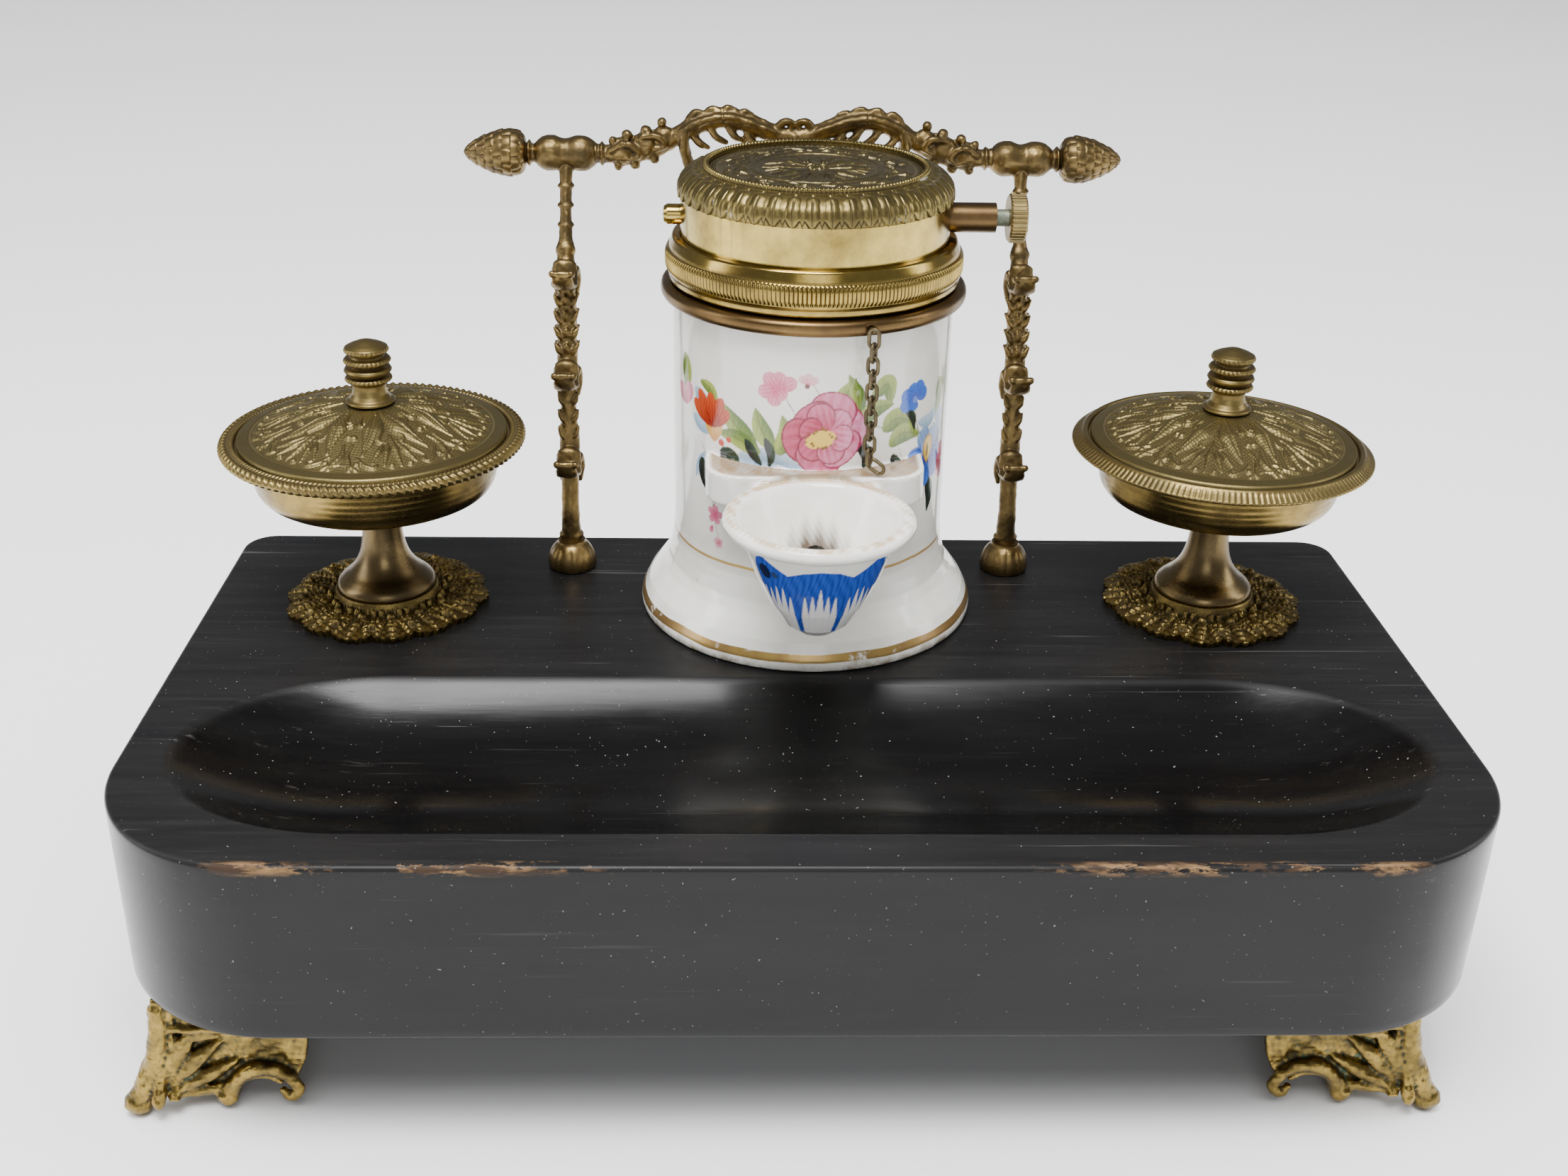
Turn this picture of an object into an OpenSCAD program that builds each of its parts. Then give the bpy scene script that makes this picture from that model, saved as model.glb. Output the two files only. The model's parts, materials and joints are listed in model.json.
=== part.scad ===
// Pump inkwell on a desk stand: porcelain well with a dipping cup, two lidded dishes and a pen rack.
// Millimetres, +Z up. The origin is on the floor, at the middle of the whole object's outline.

/* [Base block] */
// Width of the block
base_w = 300; // [270:1:330]
// Depth of the block
base_d = 158; // [150:1:175]
// Height of the block
base_h = 43; // [36:1:50]
// Corner radius at the front
base_front_r = 38.4; // [20:0.2:45]
// Corner radius at the back
base_back_r = 8; // [4:0.5:16]

/* [Pen trough] */
// Length of the trough
trough_l = 281; // [250:1:285]
// Width of the trough
trough_w = 66; // [50:1:68]
// Depth of the trough
trough_depth = 13; // [8:0.5:18]
// Distance from the block's front face to the trough's middle line
trough_inset = 44.7; // [40:0.1:50]

/* [Corner feet] */
// Height of the feet
foot_h = 30; // [26:1:34]
// Length of each wing of a foot
foot_wing = 33; // [28:1:38]
// Distance of a foot's corner from the block's side
foot_inset_x = 13; // [12:0.5:20]
// Distance of a foot's corner from the block's front or back
foot_inset_y = 13; // [11:0.5:20]
// Distance that all four feet sit to the left of the block's middle
foot_offset = 3.5; // [0:0.5:4]
// Radius of the foot screws
foot_screw_r = 1.5; // [1:0.1:2]

/* [Porcelain well] */
// Distance of the well's axis from the block's middle, to the right
well_x = 2.2; // [0:0.1:5]
// Distance of the well's axis behind the block's middle
well_back = 42.6; // [40:0.1:44]
// Radius of the cylinder
well_r = 33.6; // [32:0.1:35]
// Radius of the spreading foot
well_foot_r = 42.3; // [39:0.1:44]
// Height of the porcelain
well_h = 85; // [80:1:92]
// Thickness of the porcelain wall
well_wall = 5.1; // [4:0.1:6]
// Thickness of the reservoir's floor
well_floor = 12; // [8:1:16]

/* [Dipping cup] */
// Distance from the well's axis to the cup's axis
cup_reach = 55; // [53:0.5:57]
// Outer radius of the cup's rim
cup_rim_r = 21.5; // [20:0.5:23]
// Height of the rim above the block
cup_rim_z = 47.5; // [44:0.5:50]
// Radius of the ink port between reservoir and cup
port_r = 3.5; // [3:0.1:4]
// Width of the ledge behind the cup
ledge_w = 51; // [46:1:56]

/* [Collar and union ring] */
// Outer radius of the cemented collar
collar_r = 36.5; // [36:0.1:37]
// Height of the collar's band
collar_h = 3.8; // [3:0.1:4.5]
// Radius of the neck that the head sits on
neck_r = 33; // [32.5:0.1:33]
// Radius of the bore through collar and porcelain
mouth_r = 27; // [26:0.1:28]
// Greatest radius of the knurled ring
ring_r = 35.6; // [35:0.1:36]

/* [Pump head] */
// Radius of the drum
drum_r = 31.8; // [31:0.1:32]
// Height of the drum's shoulder above the block
drum_top_z = 107.8; // [106:0.1:109]
// Height of the knob's axis above the block
shaft_z = 99.8; // [99:0.1:100.5]
// Radius of the drive shaft
shaft_r = 1.5; // [1.2:0.1:1.7]
// Radius of the bearing tube
tube_r = 3.5; // [3:0.1:4]
// Radius of the knurled knob
knob_r = 5.8; // [5:0.1:6.5]

/* [Pump] */
// Pitch radius of the pinion
pinion_pitch_r = 3.2; // [3.2:0.1:3.2]
// Number of pinion teeth
pinion_teeth = 10; // [10:1:10]
// Downward travel of the plunger
plunger_travel = 7; // [5:0.5:7]
// Radius of the plunger
plunger_r = 24; // [20:0.5:25]
// Height of the plunger
plunger_h = 24; // [18:1:28]

/* [Dishes] */
// Distance of the dishes from the block's middle, to each side
dish_x = 105; // [100:1:108]
// Distance of the dishes behind the block's middle
dish_back = 39; // [36:1:41]
// Radius of the rosette under each stem
rosette_r = 26; // [23:0.5:28]
// Height of the bowl's floor above the block
bowl_z = 30; // [28:1:32]
// Radius of the bowl at its mouth
bowl_r = 30; // [28:0.5:31]
// Greatest radius of the rim ring
rim_r = 37; // [36:0.5:38]
// Radius of the lid
lid_r = 32.5; // [32:0.1:33]

/* [Pen rack] */
// Distance between the posts
post_span = 116; // [112:1:120]
// Offset of the rack's middle from the block's middle
rack_x = -1.6; // [-2:0.1:0]
// Distance of the posts' feet behind the block's middle
post_back = 60; // [58:1:62]
// Distance of the bar's axis behind the block's middle
bar_back = 82.8; // [82:0.1:85]
// Height of the bar at the posts above the block
bar_z = 105; // [103:1:107]
// Height that the bar's two arches add
arch_rise = 9; // [7:0.5:11]
// Thickness of the bar
bar_t = 6; // [5:0.5:6]
// Greatest radius of the acorns
acorn_r = 6.3; // [5.5:0.1:7]

/* [Chain] */
// Angle of the chain to the right of the well's front
chain_angle = 18.5; // [10:0.5:24]
// Thickness of the chain's wire
wire_d = 0.9; // [0.8:0.05:1]
// Outer length of a link
link_l = 5; // [5:0.1:5]
// Outer width of a link
link_w = 3.3; // [3.1:0.1:3.4]

/* [Hidden] */
$fn = 48;

brass = [0.72, 0.58, 0.25];
aged_brass = [0.45, 0.38, 0.2];
bronze = [0.32, 0.26, 0.15];
gilt = [0.75, 0.62, 0.28];
ebony = [0.12, 0.12, 0.13];
porcelain = [0.94, 0.93, 0.9];
steel = [0.5, 0.5, 0.5];

// Radial clearance of a turning fit, and of a fixed pin in its hole
run_gap = 0.05;
seat_gap = 0.02;

// The rack's acorns reach furthest back, so the block sits forward of the origin by half their overhang
overhang = bar_back + acorn_r - base_d / 2;
base_y = -overhang / 2;
top_z = foot_h + base_h;
well_y = base_y + well_back;
cup_y = well_y - cup_reach;
dish_y = base_y + dish_back;
post_y = base_y + post_back;
bar_y = base_y + bar_back;
trough_y = base_y - base_d / 2 + trough_inset;
collar_z = well_h - collar_h;
neck_z = well_h + 6.4;
gasket_h = 0.9;
flange_z = neck_z + gasket_h;
flange_h = 1.1;
reservoir_r = well_r - well_wall;

// Bolts through the block, one under each dish and one under each post, with nuts in counterbores
bolt_r = 2;
bolt_spots = [
    [-dish_x, dish_y], [dish_x, dish_y],
    [rack_x - post_span / 2, post_y], [rack_x + post_span / 2, post_y]
];
bolt_z = foot_h + 2;
nut_z = foot_h + 4.6;
nut_t = 3.4;
counterbore_r = 5.5;
counterbore_h = 8;

// Corner feet: where their corners and screws are
foot_x = base_w / 2 - foot_inset_x;
foot_y = base_d / 2 - foot_inset_y;
foot_t = 4.2;
screw_in = 11;
screw_z = foot_h - 3;
foot_spots = [for (sx = [-1, 1]) for (sy = [-1, 1])
    [sx * (foot_x - screw_in) - foot_offset, base_y + sy * (foot_y - screw_in)]];

// Dishes, above the block
rosette_h = 4.9;
rosette_petals = 14;
ring_z = bowl_z + 13;
lid_z = ring_z + 2;
lid_h = 9;
bowl_wall = 1.2;

// Rack: heights of the three pen hooks, and a post's middle line as distance back and height
shoe_h = 8;
post_w = 7;
hook_zs = [31, 54, 79];
hook_back = [4, 6.5, 11.5];
bar_reach = bar_back - post_back;
post_line = [[0, shoe_h], [0, 17], [1.6, 23], [4, 31], [6.5, 54], [11.5, 79], [bar_reach, bar_z]];
bar_rod_r = 2.7;
rod_end = 70;
arch_x = 18;
slope_end = 42;

// Well's waist where the cylinder meets the foot, and the ink port with the neck of porcelain around it
waist_r = 36.5;
port_z = 31;
port_neck_r = 8.9;

// Chain, measured from the well's foot
chain_r = collar_r + 1.5;
eye_pin_z = well_h - 1.9;
link_gap = 0.1;
link_pitch = link_l - 2 * wire_d - link_gap;
eye_l = link_l + 0.2;
eye_z = eye_pin_z - 1.75;
links_upper = 5;
links_lower = 4;
end_tilt = 60;
first_link_z = eye_z - eye_l / 2 - link_l / 2 + 2 * wire_d + link_gap / 2;

// Head, measured from the well's foot
ring_z0 = well_h + 0.3;
ring_top_z = well_h + 10.7;
drum_wall = 1.2;
guide_z = flange_z + flange_h;
plate_top_z = guide_z + 1.7;
screw_ring_r = 27;
guide_screw_r = 1;
medallion_r = 25.2;
medallion_z = drum_top_z + 2.4;
bearing_x = 29.4;
stub_r = 2.4;
knob_x = 45.6;
knob_t = 4;
pin_r = 0.5;

// Pump: rod with rack teeth behind the pinion
rod_w = 5;
rod_front = 4;
rod_back = 8;
rod_y = (rod_front + rod_back) / 2;
rod_pin_r = 1.8;
rod_pin_h = 8;
rod_top_z = drum_top_z + 0.8;
guide_gap = 0.06;
tooth_tip = 0.55;
tooth_pitch = 2 * PI * pinion_pitch_r / pinion_teeth;
plunger_z = 48;
rod_z = plunger_z + plunger_h;
nut_h = 2.6;

// Pulls its children up to the block's top, at the well's axis
module at_well() {
    translate([well_x, well_y, top_z]) children();
}

// Puts its children at the left and right dish
module at_dish(side) {
    translate([side * dish_x, dish_y, top_z]) children();
}

// Tube with an outer and an inner radius, standing on z
module tube(r_out, r_in, z, h) {
    translate([0, 0, z]) difference() {
        cylinder(r = r_out, h = h, $fn = 96);
        translate([0, 0, -1]) cylinder(r = r_in, h = h + 2, $fn = 96);
    }
}

// ---------------------------------------------------------------- base

// Plan of the block, round at its four corners
module block_plan() {
    w = base_w / 2;
    d = base_d / 2;
    fr = base_front_r;
    br = base_back_r;
    translate([-w + fr, -d]) square([base_w - 2 * fr, base_d - br]);
    translate([-w, -d + fr]) square([base_w, base_d - fr - br]);
    translate([-w + br, 0]) square([base_w - 2 * br, d]);
    for (side = [-1, 1]) {
        translate([side * (w - fr), -d + fr]) circle(r = fr, $fn = 96);
        translate([side * (w - br), d - br]) circle(r = br, $fn = 48);
    }
}

// Round-bottomed scoop with half-round ends, cut down from z = 0
module trough_scoop() {
    half = trough_w / 2;
    arc_r = (half * half + trough_depth * trough_depth) / (2 * trough_depth);
    lift = arc_r - trough_depth;
    straight = trough_l - trough_w;
    translate([-straight / 2, 0, lift]) rotate([0, 90, 0]) cylinder(r = arc_r, h = straight, $fn = 180);
    for (side = [0, 1]) mirror([side, 0, 0]) translate([straight / 2, 0, 0])
        rotate([0, 0, -90]) rotate_extrude(angle = 180, $fn = 96) difference() {
            translate([0, lift]) circle(r = arc_r, $fn = 180);
            translate([-2 * arc_r, -arc_r]) square([2 * arc_r, 3 * arc_r]);
        }
}

module base_block() {
    color(ebony) difference() {
        translate([0, base_y, foot_h]) linear_extrude(base_h) block_plan();
        translate([0, trough_y, top_z]) trough_scoop();
        for (s = foot_spots) translate([s[0], s[1], foot_h - 1])
            cylinder(r = foot_screw_r + seat_gap, h = 11, $fn = 32);
        for (s = bolt_spots) translate([s[0], s[1], foot_h - 1]) {
            cylinder(r = bolt_r + seat_gap, h = base_h + 2, $fn = 32);
            cylinder(r = counterbore_r, h = counterbore_h + 1, $fn = 32);
        }
    }
}

// ---------------------------------------------------------------- feet

// One wing's outline: a band under the block, a leaf down to the toe, a lobe, an arch and a curl
module wing_outline() {
    band_z = foot_h - 12;
    difference() {
        union() {
            translate([0, band_z]) square([foot_wing, foot_h - band_z]);
            polygon([[-1, foot_h - 5], [-1.6, 9], [-4, 4], [3, 2.6], [9, 5.5], [11, 1.5], [15.5, 1.5], [17, 7],
                [20, 10.4], [23, 9.6], [24.6, 6.4], [24.6, 3], [28, 3], [29.4, 6.4], [31, 12],
                [foot_wing, band_z]]);
            translate([13, 2.6]) circle(r = 2.4);
            translate([26.4, 3.6]) circle(r = 2.7);
        }
        translate([10.5, 11.2]) circle(r = 1.8);
    }
}

// A foot at the front left: wings run to +X and +Y from the corner, and the toe turns out sideways
module corner_foot() {
    toe_x = -5.6;
    toe_y = -0.8;
    ankle_z = 8;
    lug = 18;
    difference() {
        union() {
            translate([0, foot_t, 0]) rotate([90, 0, 0]) linear_extrude(foot_t) wing_outline();
            rotate([90, 0, 90]) linear_extrude(foot_t) wing_outline();
            translate([foot_t / 2, foot_t / 2, screw_z]) cube([lug, lug, foot_h - screw_z]);
            hull() {
                translate([3, 3, foot_h - ankle_z]) cylinder(r = 3, h = ankle_z, $fn = 32);
                translate([toe_x / 2, toe_y, ankle_z]) sphere(r = 4, $fn = 24);
            }
            hull() {
                translate([toe_x / 2, toe_y, ankle_z]) sphere(r = 4, $fn = 24);
                translate([toe_x, toe_y, 0]) cylinder(r = 3.4, h = 5, $fn = 32);
            }
        }
        translate([screw_in, screw_in, screw_z - 1]) cylinder(r = foot_screw_r + seat_gap, h = 5, $fn = 32);
    }
}

module foot_at(sx, sy) {
    color(gilt) translate([sx * foot_x - foot_offset, base_y + sy * foot_y, 0])
        mirror([sx > 0 ? 1 : 0, 0, 0]) mirror([0, sy > 0 ? 1 : 0, 0]) corner_foot();
}

module foot_front_left() { foot_at(-1, -1); }
module foot_front_right() { foot_at(1, -1); }
module foot_rear_left() { foot_at(-1, 1); }
module foot_rear_right() { foot_at(1, 1); }

module foot_screws() {
    color(steel) for (s = foot_spots) translate([s[0], s[1], 0]) difference() {
        union() {
            translate([0, 0, screw_z]) cylinder(r = foot_screw_r, h = 12, $fn = 32);
            translate([0, 0, screw_z - 1.8]) cylinder(r = 2.9, h = 1.8, $fn = 32);
        }
        translate([-3.5, -0.4, screw_z - 2.5]) cube([7, 0.8, 1.5]);
    }
}

// ---------------------------------------------------------------- dishes

// Scalloped wreath with a raised hub
module rosette(side) {
    petal_r = rosette_r * PI / rosette_petals * 0.86;
    color(bronze) at_dish(side) difference() {
        union() {
            linear_extrude(3.4) {
                circle(r = rosette_r - petal_r, $fn = 96);
                for (i = [0 : rosette_petals - 1]) rotate(i * 360 / rosette_petals)
                    translate([rosette_r - petal_r, 0]) circle(r = petal_r);
            }
            cylinder(r1 = rosette_r - 5, r2 = 13, h = rosette_h, $fn = 96);
        }
        translate([0, 0, -1]) cylinder(r = bolt_r + seat_gap, h = 10, $fn = 32);
    }
}

module rosette_left() { rosette(-1); }
module rosette_right() { rosette(1); }

// Trumpet-shaped stem, narrow at its top
module dish_stem(side) {
    h = bowl_z - rosette_h;
    color(bronze) at_dish(side) translate([0, 0, rosette_h]) difference() {
        rotate_extrude($fn = 96) polygon([[0, 0], [12.4, 0], [12.4, 0.8], [11.5, 2.5], [8.6, 5], [6, 9],
            [5.1, 13], [4.8, 17], [4.8, h], [0, h]]);
        translate([0, 0, -1]) cylinder(r = bolt_r + seat_gap, h = h + 2, $fn = 32);
    }
}

module dish_stem_left() { dish_stem(-1); }
module dish_stem_right() { dish_stem(1); }

// Thin spun bowl, open at the top
module bowl(side) {
    h = ring_z - bowl_z;
    turn_z = 3;
    wall_z = turn_z + bowl_wall;
    floor_r = bowl_r - 5.5;
    turn_r = bowl_r - 2.4;
    color(aged_brass) at_dish(side) translate([0, 0, bowl_z]) difference() {
        union() {
            cylinder(r1 = floor_r, r2 = turn_r, h = turn_z, $fn = 96);
            translate([0, 0, turn_z]) cylinder(r1 = turn_r, r2 = bowl_r, h = h - turn_z, $fn = 96);
        }
        translate([0, 0, bowl_wall])
            cylinder(r1 = floor_r - bowl_wall, r2 = turn_r - bowl_wall, h = turn_z, $fn = 96);
        translate([0, 0, wall_z])
            cylinder(r1 = turn_r - bowl_wall, r2 = bowl_r - bowl_wall, h = h - wall_z + 0.01, $fn = 96);
        translate([0, 0, -1]) cylinder(r = bolt_r + seat_gap, h = 5, $fn = 32);
    }
}

module bowl_left() { bowl(-1); }
module bowl_right() { bowl(1); }

// Flanged ring on the bowl's mouth, with a ledge inside for the lid
module rim_ring(side) {
    color(aged_brass) at_dish(side) translate([0, 0, ring_z]) rotate_extrude($fn = 96)
        polygon([[bowl_r - bowl_wall, 0], [rim_r - 1, 0], [rim_r, 0.8], [rim_r, 1.6], [34.4, 3.4], [33.2, 3.4],
            [lid_r + 0.35, 2.8], [lid_r + 0.35, 2], [bowl_r - bowl_wall, 2]]);
}

module rim_ring_left() { rim_ring(-1); }
module rim_ring_right() { rim_ring(1); }

// Low domed lid with a spigot that centres it in the ring
module lid(side) {
    color(aged_brass) at_dish(side) translate([0, 0, lid_z]) rotate_extrude($fn = 96)
        polygon([[1.6, 7.6], [1.6, lid_h], [6, lid_h], [14, 7.4], [24, 4.6], [30, 2.6], [lid_r, 1.75],
            [lid_r, 0], [28, 0], [28, -2.6], [27, -2.6], [27, 1.7], [23, 3.4], [14, 6], [6, 7.6]]);
}

module lid_left() { lid(-1); }
module lid_right() { lid(1); }

// Turned finial with a stud through the lid
module finial(side) {
    color(aged_brass) at_dish(side) translate([0, 0, lid_z + lid_h]) rotate_extrude($fn = 64)
        polygon([[0, -3], [1.58, -3], [1.58, 0], [5.9, 0], [5.9, 0.8], [4.4, 2], [4.1, 3.5], [4.4, 5.4],
            [5.6, 6], [5.8, 7], [5.6, 8], [4.5, 8.8], [4.5, 10], [5.4, 10.8], [5.4, 11.8], [4.2, 12.8],
            [4.2, 14.4], [3.4, 15.4], [0, 15.8]]);
}

module finial_left() { finial(-1); }
module finial_right() { finial(1); }

module dish_bolts() {
    color(steel) for (side = [-1, 1]) translate([side * dish_x, dish_y, 0]) {
        translate([0, 0, bolt_z]) cylinder(r = bolt_r, h = top_z + bowl_z + bowl_wall - bolt_z, $fn = 32);
        translate([0, 0, top_z + bowl_z + bowl_wall]) cylinder(r = 4, h = 2.2, $fn = 32);
    }
}

// Hexagon nut on a bolt, seated in a counterbore under the block
module counterbore_nut() {
    difference() {
        cylinder(r = 4.6, h = nut_t, $fn = 6);
        translate([0, 0, -1]) cylinder(r = bolt_r + seat_gap, h = nut_t + 2, $fn = 32);
    }
}

module dish_nuts() {
    color(steel) for (i = [0, 1]) translate([bolt_spots[i][0], bolt_spots[i][1], nut_z]) counterbore_nut();
}

// ---------------------------------------------------------------- rack

// Side outline of a post: a leaning spine with hooks that open upwards at its front
module post_outline() {
    half = 2.8;
    for (i = [0 : len(post_line) - 2]) {
        a = post_line[i];
        b = post_line[i + 1];
        polygon([[a[0] - half, a[1]], [a[0] + half, a[1]], [b[0] + half, b[1]], [b[0] - half, b[1]]]);
    }
    for (i = [0 : 2]) translate([hook_back[i] - half - 4.2, hook_zs[i] + 1]) difference() {
        circle(r = 5.4, $fn = 48);
        circle(r = 3, $fn = 48);
        translate([-6, 0]) square([8.9, 6]);
    }
}

module rack_post(side) {
    color(bronze) translate([rack_x + side * post_span / 2, post_y, top_z]) difference() {
        union() {
            translate([-post_w / 2, 0, 0]) rotate([90, 0, 90]) linear_extrude(post_w) post_outline();
            translate([-4.3, bar_reach, bar_z]) rotate([0, 90, 0])
                cylinder(r = 4.6, h = 8.6, $fn = 48);
        }
        translate([-10, bar_reach, bar_z]) rotate([0, 90, 0])
            cylinder(r = bar_rod_r + seat_gap, h = 20, $fn = 48);
        translate([0, 0, shoe_h - 1]) cylinder(r = bolt_r + seat_gap, h = 7, $fn = 32);
    }
}

module rack_post_left() { rack_post(-1); }
module rack_post_right() { rack_post(1); }

// Round shoe between a post and the block
module post_shoe(side) {
    color(bronze) translate([rack_x + side * post_span / 2, post_y, top_z]) rotate_extrude($fn = 64)
        polygon([[bolt_r + seat_gap, 0], [6, 0], [6.4, 1], [6.4, 3], [5.6, 5.4], [4.2, 7.2], [3.6, shoe_h],
            [bolt_r + seat_gap, shoe_h]]);
}

module post_shoe_left() { post_shoe(-1); }
module post_shoe_right() { post_shoe(1); }

module post_bolts() {
    color(steel) for (i = [2, 3]) translate([bolt_spots[i][0], bolt_spots[i][1], bolt_z])
        cylinder(r = bolt_r, h = top_z + shoe_h + 5 - bolt_z, $fn = 32);
}

module post_nuts() {
    color(steel) for (i = [2, 3]) translate([bolt_spots[i][0], bolt_spots[i][1], nut_z]) counterbore_nut();
}

// Height of the bar's middle line above its ends
function bar_lift(x) =
    x > slope_end ? 0 :
    x > arch_x ? arch_rise * (1 + cos(180 * (x - arch_x) / (slope_end - arch_x))) / 2 :
    arch_rise - 4.4 * (1 + cos(180 * x / arch_x)) / 2;

// Half height of the bar, thickest at its two leaf scrolls
function bar_half(x) = 2.6 + 2.2 * exp(-pow((x - 40) / 7, 2)) + 1.6 * exp(-pow((x - 19) / 8, 2));

// Ornamental bar: flat double arch in the middle, round rods out to the acorns
module rack_bar() {
    edge = post_span / 2 - 5;
    xs = [for (x = [-edge : 2 : edge]) x];
    upper = [for (x = xs) [x, bar_lift(abs(x)) + bar_half(abs(x))]];
    lower = [for (i = [len(xs) - 1 : -1 : 0]) [xs[i], bar_lift(abs(xs[i])) - bar_half(abs(xs[i]))]];
    color(bronze) translate([rack_x, bar_y, top_z + bar_z]) {
        difference() {
            translate([0, bar_t / 2, 0]) rotate([90, 0, 0]) linear_extrude(bar_t) polygon(concat(upper, lower));
            translate([0, 0, 4.6]) rotate([90, 0, 0]) cylinder(r = 2.2, h = 20, center = true, $fn = 32);
        }
        for (side = [0, 1]) mirror([side, 0, 0]) {
            translate([edge - 1, 0, 0]) rotate([0, 90, 0])
                cylinder(r = bar_rod_r, h = rod_end - edge + 1, $fn = 48);
            translate([26, bar_t / 2, 0]) rotate([90, 0, 0]) linear_extrude(bar_t)
                polygon([[-3, 8], [3, 6], [2.4, 0], [1, -5], [-1.5, -8], [-1.6, -3], [-2, 2]]);
        }
    }
}

// Bud on each end of the bar
module acorn(side) {
    color(bronze) translate([rack_x, bar_y, top_z + bar_z]) mirror([side < 0 ? 1 : 0, 0, 0])
        translate([rod_end - 2, 0, 0]) rotate([0, 90, 0]) rotate_extrude($fn = 64) difference() {
            polygon([[0, 0], [4.2, 0], [5.6, 1.4], [acorn_r, 3.6], [6.1, 5.6], [4.9, 9], [3.2, 12.6],
                [1.4, 15.4], [0, 16]]);
            translate([-1, -1]) square([bar_rod_r + seat_gap + 1, 3]);
        }
}

module acorn_left() { acorn(-1); }
module acorn_right() { acorn(1); }

// ---------------------------------------------------------------- porcelain

// Outline of the cup below its rim, from the round tip up
module cup_outside() {
    polygon([[0, 18], [3.6, 18.6], [7.5, 21.6], [11.5, 28], [14.8, 35.4], [17, cup_rim_z - 5],
        [18.6, cup_rim_z - 4], [cup_rim_r - 0.8, cup_rim_z - 3.4], [cup_rim_r, cup_rim_z - 2.2],
        [cup_rim_r - 0.4, cup_rim_z - 0.7], [cup_rim_r - 1.6, cup_rim_z], [0, cup_rim_z]]);
}

module cup_inside() {
    polygon([[0, 26.4], [4, 27], [7.4, 29], [11, 34], [13.6, 39], [15.8, cup_rim_z - 4],
        [17.4, cup_rim_z - 0.8], [18.4, cup_rim_z + 1], [0, cup_rim_z + 1]]);
}

// Half-round shelf between cup and cylinder
module ledge_plan() {
    r = 5;
    w = ledge_w / 2;
    back = 22;
    front = -well_r - 4.6;
    translate([-w + r, front]) square([ledge_w - 2 * r, back]);
    translate([-w, front + r]) square([ledge_w, back - r]);
    for (side = [-1, 1]) translate([side * (w - r), front + r]) circle(r = r, $fn = 48);
}

// Bore from the reservoir to the cup, or the neck of porcelain around it
module port_run(r, length) {
    translate([0, -cup_reach, port_z]) rotate([-90, 0, 0]) cylinder(r = r, h = length, $fn = 48);
}

// Spreading foot with the reservoir's thick floor, hollowed a little below
module well_foot() {
    color(porcelain) at_well() difference() {
        rotate_extrude($fn = 128) polygon([[0, 0], [41.4, 0], [well_foot_r, 1], [well_foot_r, 3.2], [41.4, 5.6],
            [38.8, 9.4], [waist_r, well_floor], [0, well_floor]]);
        translate([0, 0, -1]) cylinder(r = 34, h = 3.4, $fn = 96);
    }
}

// Cylinder on the foot, with a shoulder inside its mouth and the port in its front
module porcelain_well() {
    shoulder_z = well_h - 5;
    color(porcelain) at_well() difference() {
        rotate_extrude($fn = 128) polygon([[reservoir_r, well_floor], [waist_r, well_floor], [35, 14.3],
            [34.3, 16.8], [well_r, 22], [well_r, well_h], [mouth_r, well_h], [mouth_r, shoulder_z],
            [reservoir_r, shoulder_z]]);
        port_run(port_r, cup_reach - 20);
    }
}

// Cup with its ledge and neck, shaped to the cylinder that it is joined to with slip and glaze
module dipping_cup() {
    ledge_z = 41;
    color(porcelain) at_well() difference() {
        union() {
            translate([0, -cup_reach, 0]) rotate_extrude($fn = 96) cup_outside();
            translate([0, 0, ledge_z]) linear_extrude(8) ledge_plan();
            port_run(port_neck_r, cup_reach - well_r + 4);
        }
        translate([0, -cup_reach, 0]) rotate_extrude($fn = 96) cup_inside();
        port_run(port_r, cup_reach - 20);
        cylinder(r = well_r + seat_gap, h = well_h, $fn = 128);
    }
}

module neck_collar() {
    color(aged_brass) at_well() difference() {
        rotate_extrude($fn = 128) polygon([[well_r + seat_gap, collar_z], [collar_r - 0.6, collar_z],
            [collar_r, collar_z + 0.6], [collar_r, well_h - 0.6], [collar_r - 0.6, well_h],
            [neck_r, well_h], [neck_r, neck_z], [mouth_r, neck_z], [mouth_r, well_h],
            [well_r + seat_gap, well_h]]);
        rotate([0, 0, chain_angle]) translate([0, -well_r, eye_pin_z]) rotate([90, 0, 0])
            cylinder(r = wire_d / 2 + seat_gap, h = 5, $fn = 32);
    }
}

module neck_gasket() {
    color([0.25, 0.15, 0.08]) at_well() tube(neck_r - 0.4, mouth_r + 0.2, neck_z, gasket_h);
}

// ---------------------------------------------------------------- chain

// Oval wire link in the XZ plane, centred on the origin
module wire_link(length) {
    r = link_w / 2 - wire_d / 2;
    half = length / 2 - link_w / 2;
    for (end = [0, 1]) mirror([0, 0, end]) translate([0, 0, half]) rotate([90, 0, 0])
        rotate_extrude(angle = 180, $fn = 32) translate([r, 0]) circle(d = wire_d, $fn = 16);
    for (side = [-1, 1]) translate([side * r, 0, -half]) cylinder(d = wire_d, h = 2 * half, $fn = 16);
}

// Puts its children on the chain's line, with Y pointing at the well's axis
module at_chain(z) {
    at_well() rotate([0, 0, chain_angle]) translate([0, -chain_r, z]) children();
}

module chain_eye() {
    color(aged_brass) {
        at_chain(eye_z) rotate([0, 0, -45]) wire_link(eye_l);
        at_chain(eye_pin_z) rotate([-90, 0, 0]) translate([0, 0, -0.3])
            cylinder(r = wire_d / 2, h = 4, $fn = 16);
    }
}

// Hanging links from first to last, each turned a quarter from its neighbour
module hanging_links(first, last) {
    for (i = [first : last]) at_chain(first_link_z - link_pitch * i)
        rotate([0, 0, 45 + 90 * (i % 2)]) wire_link(link_l);
}

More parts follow.
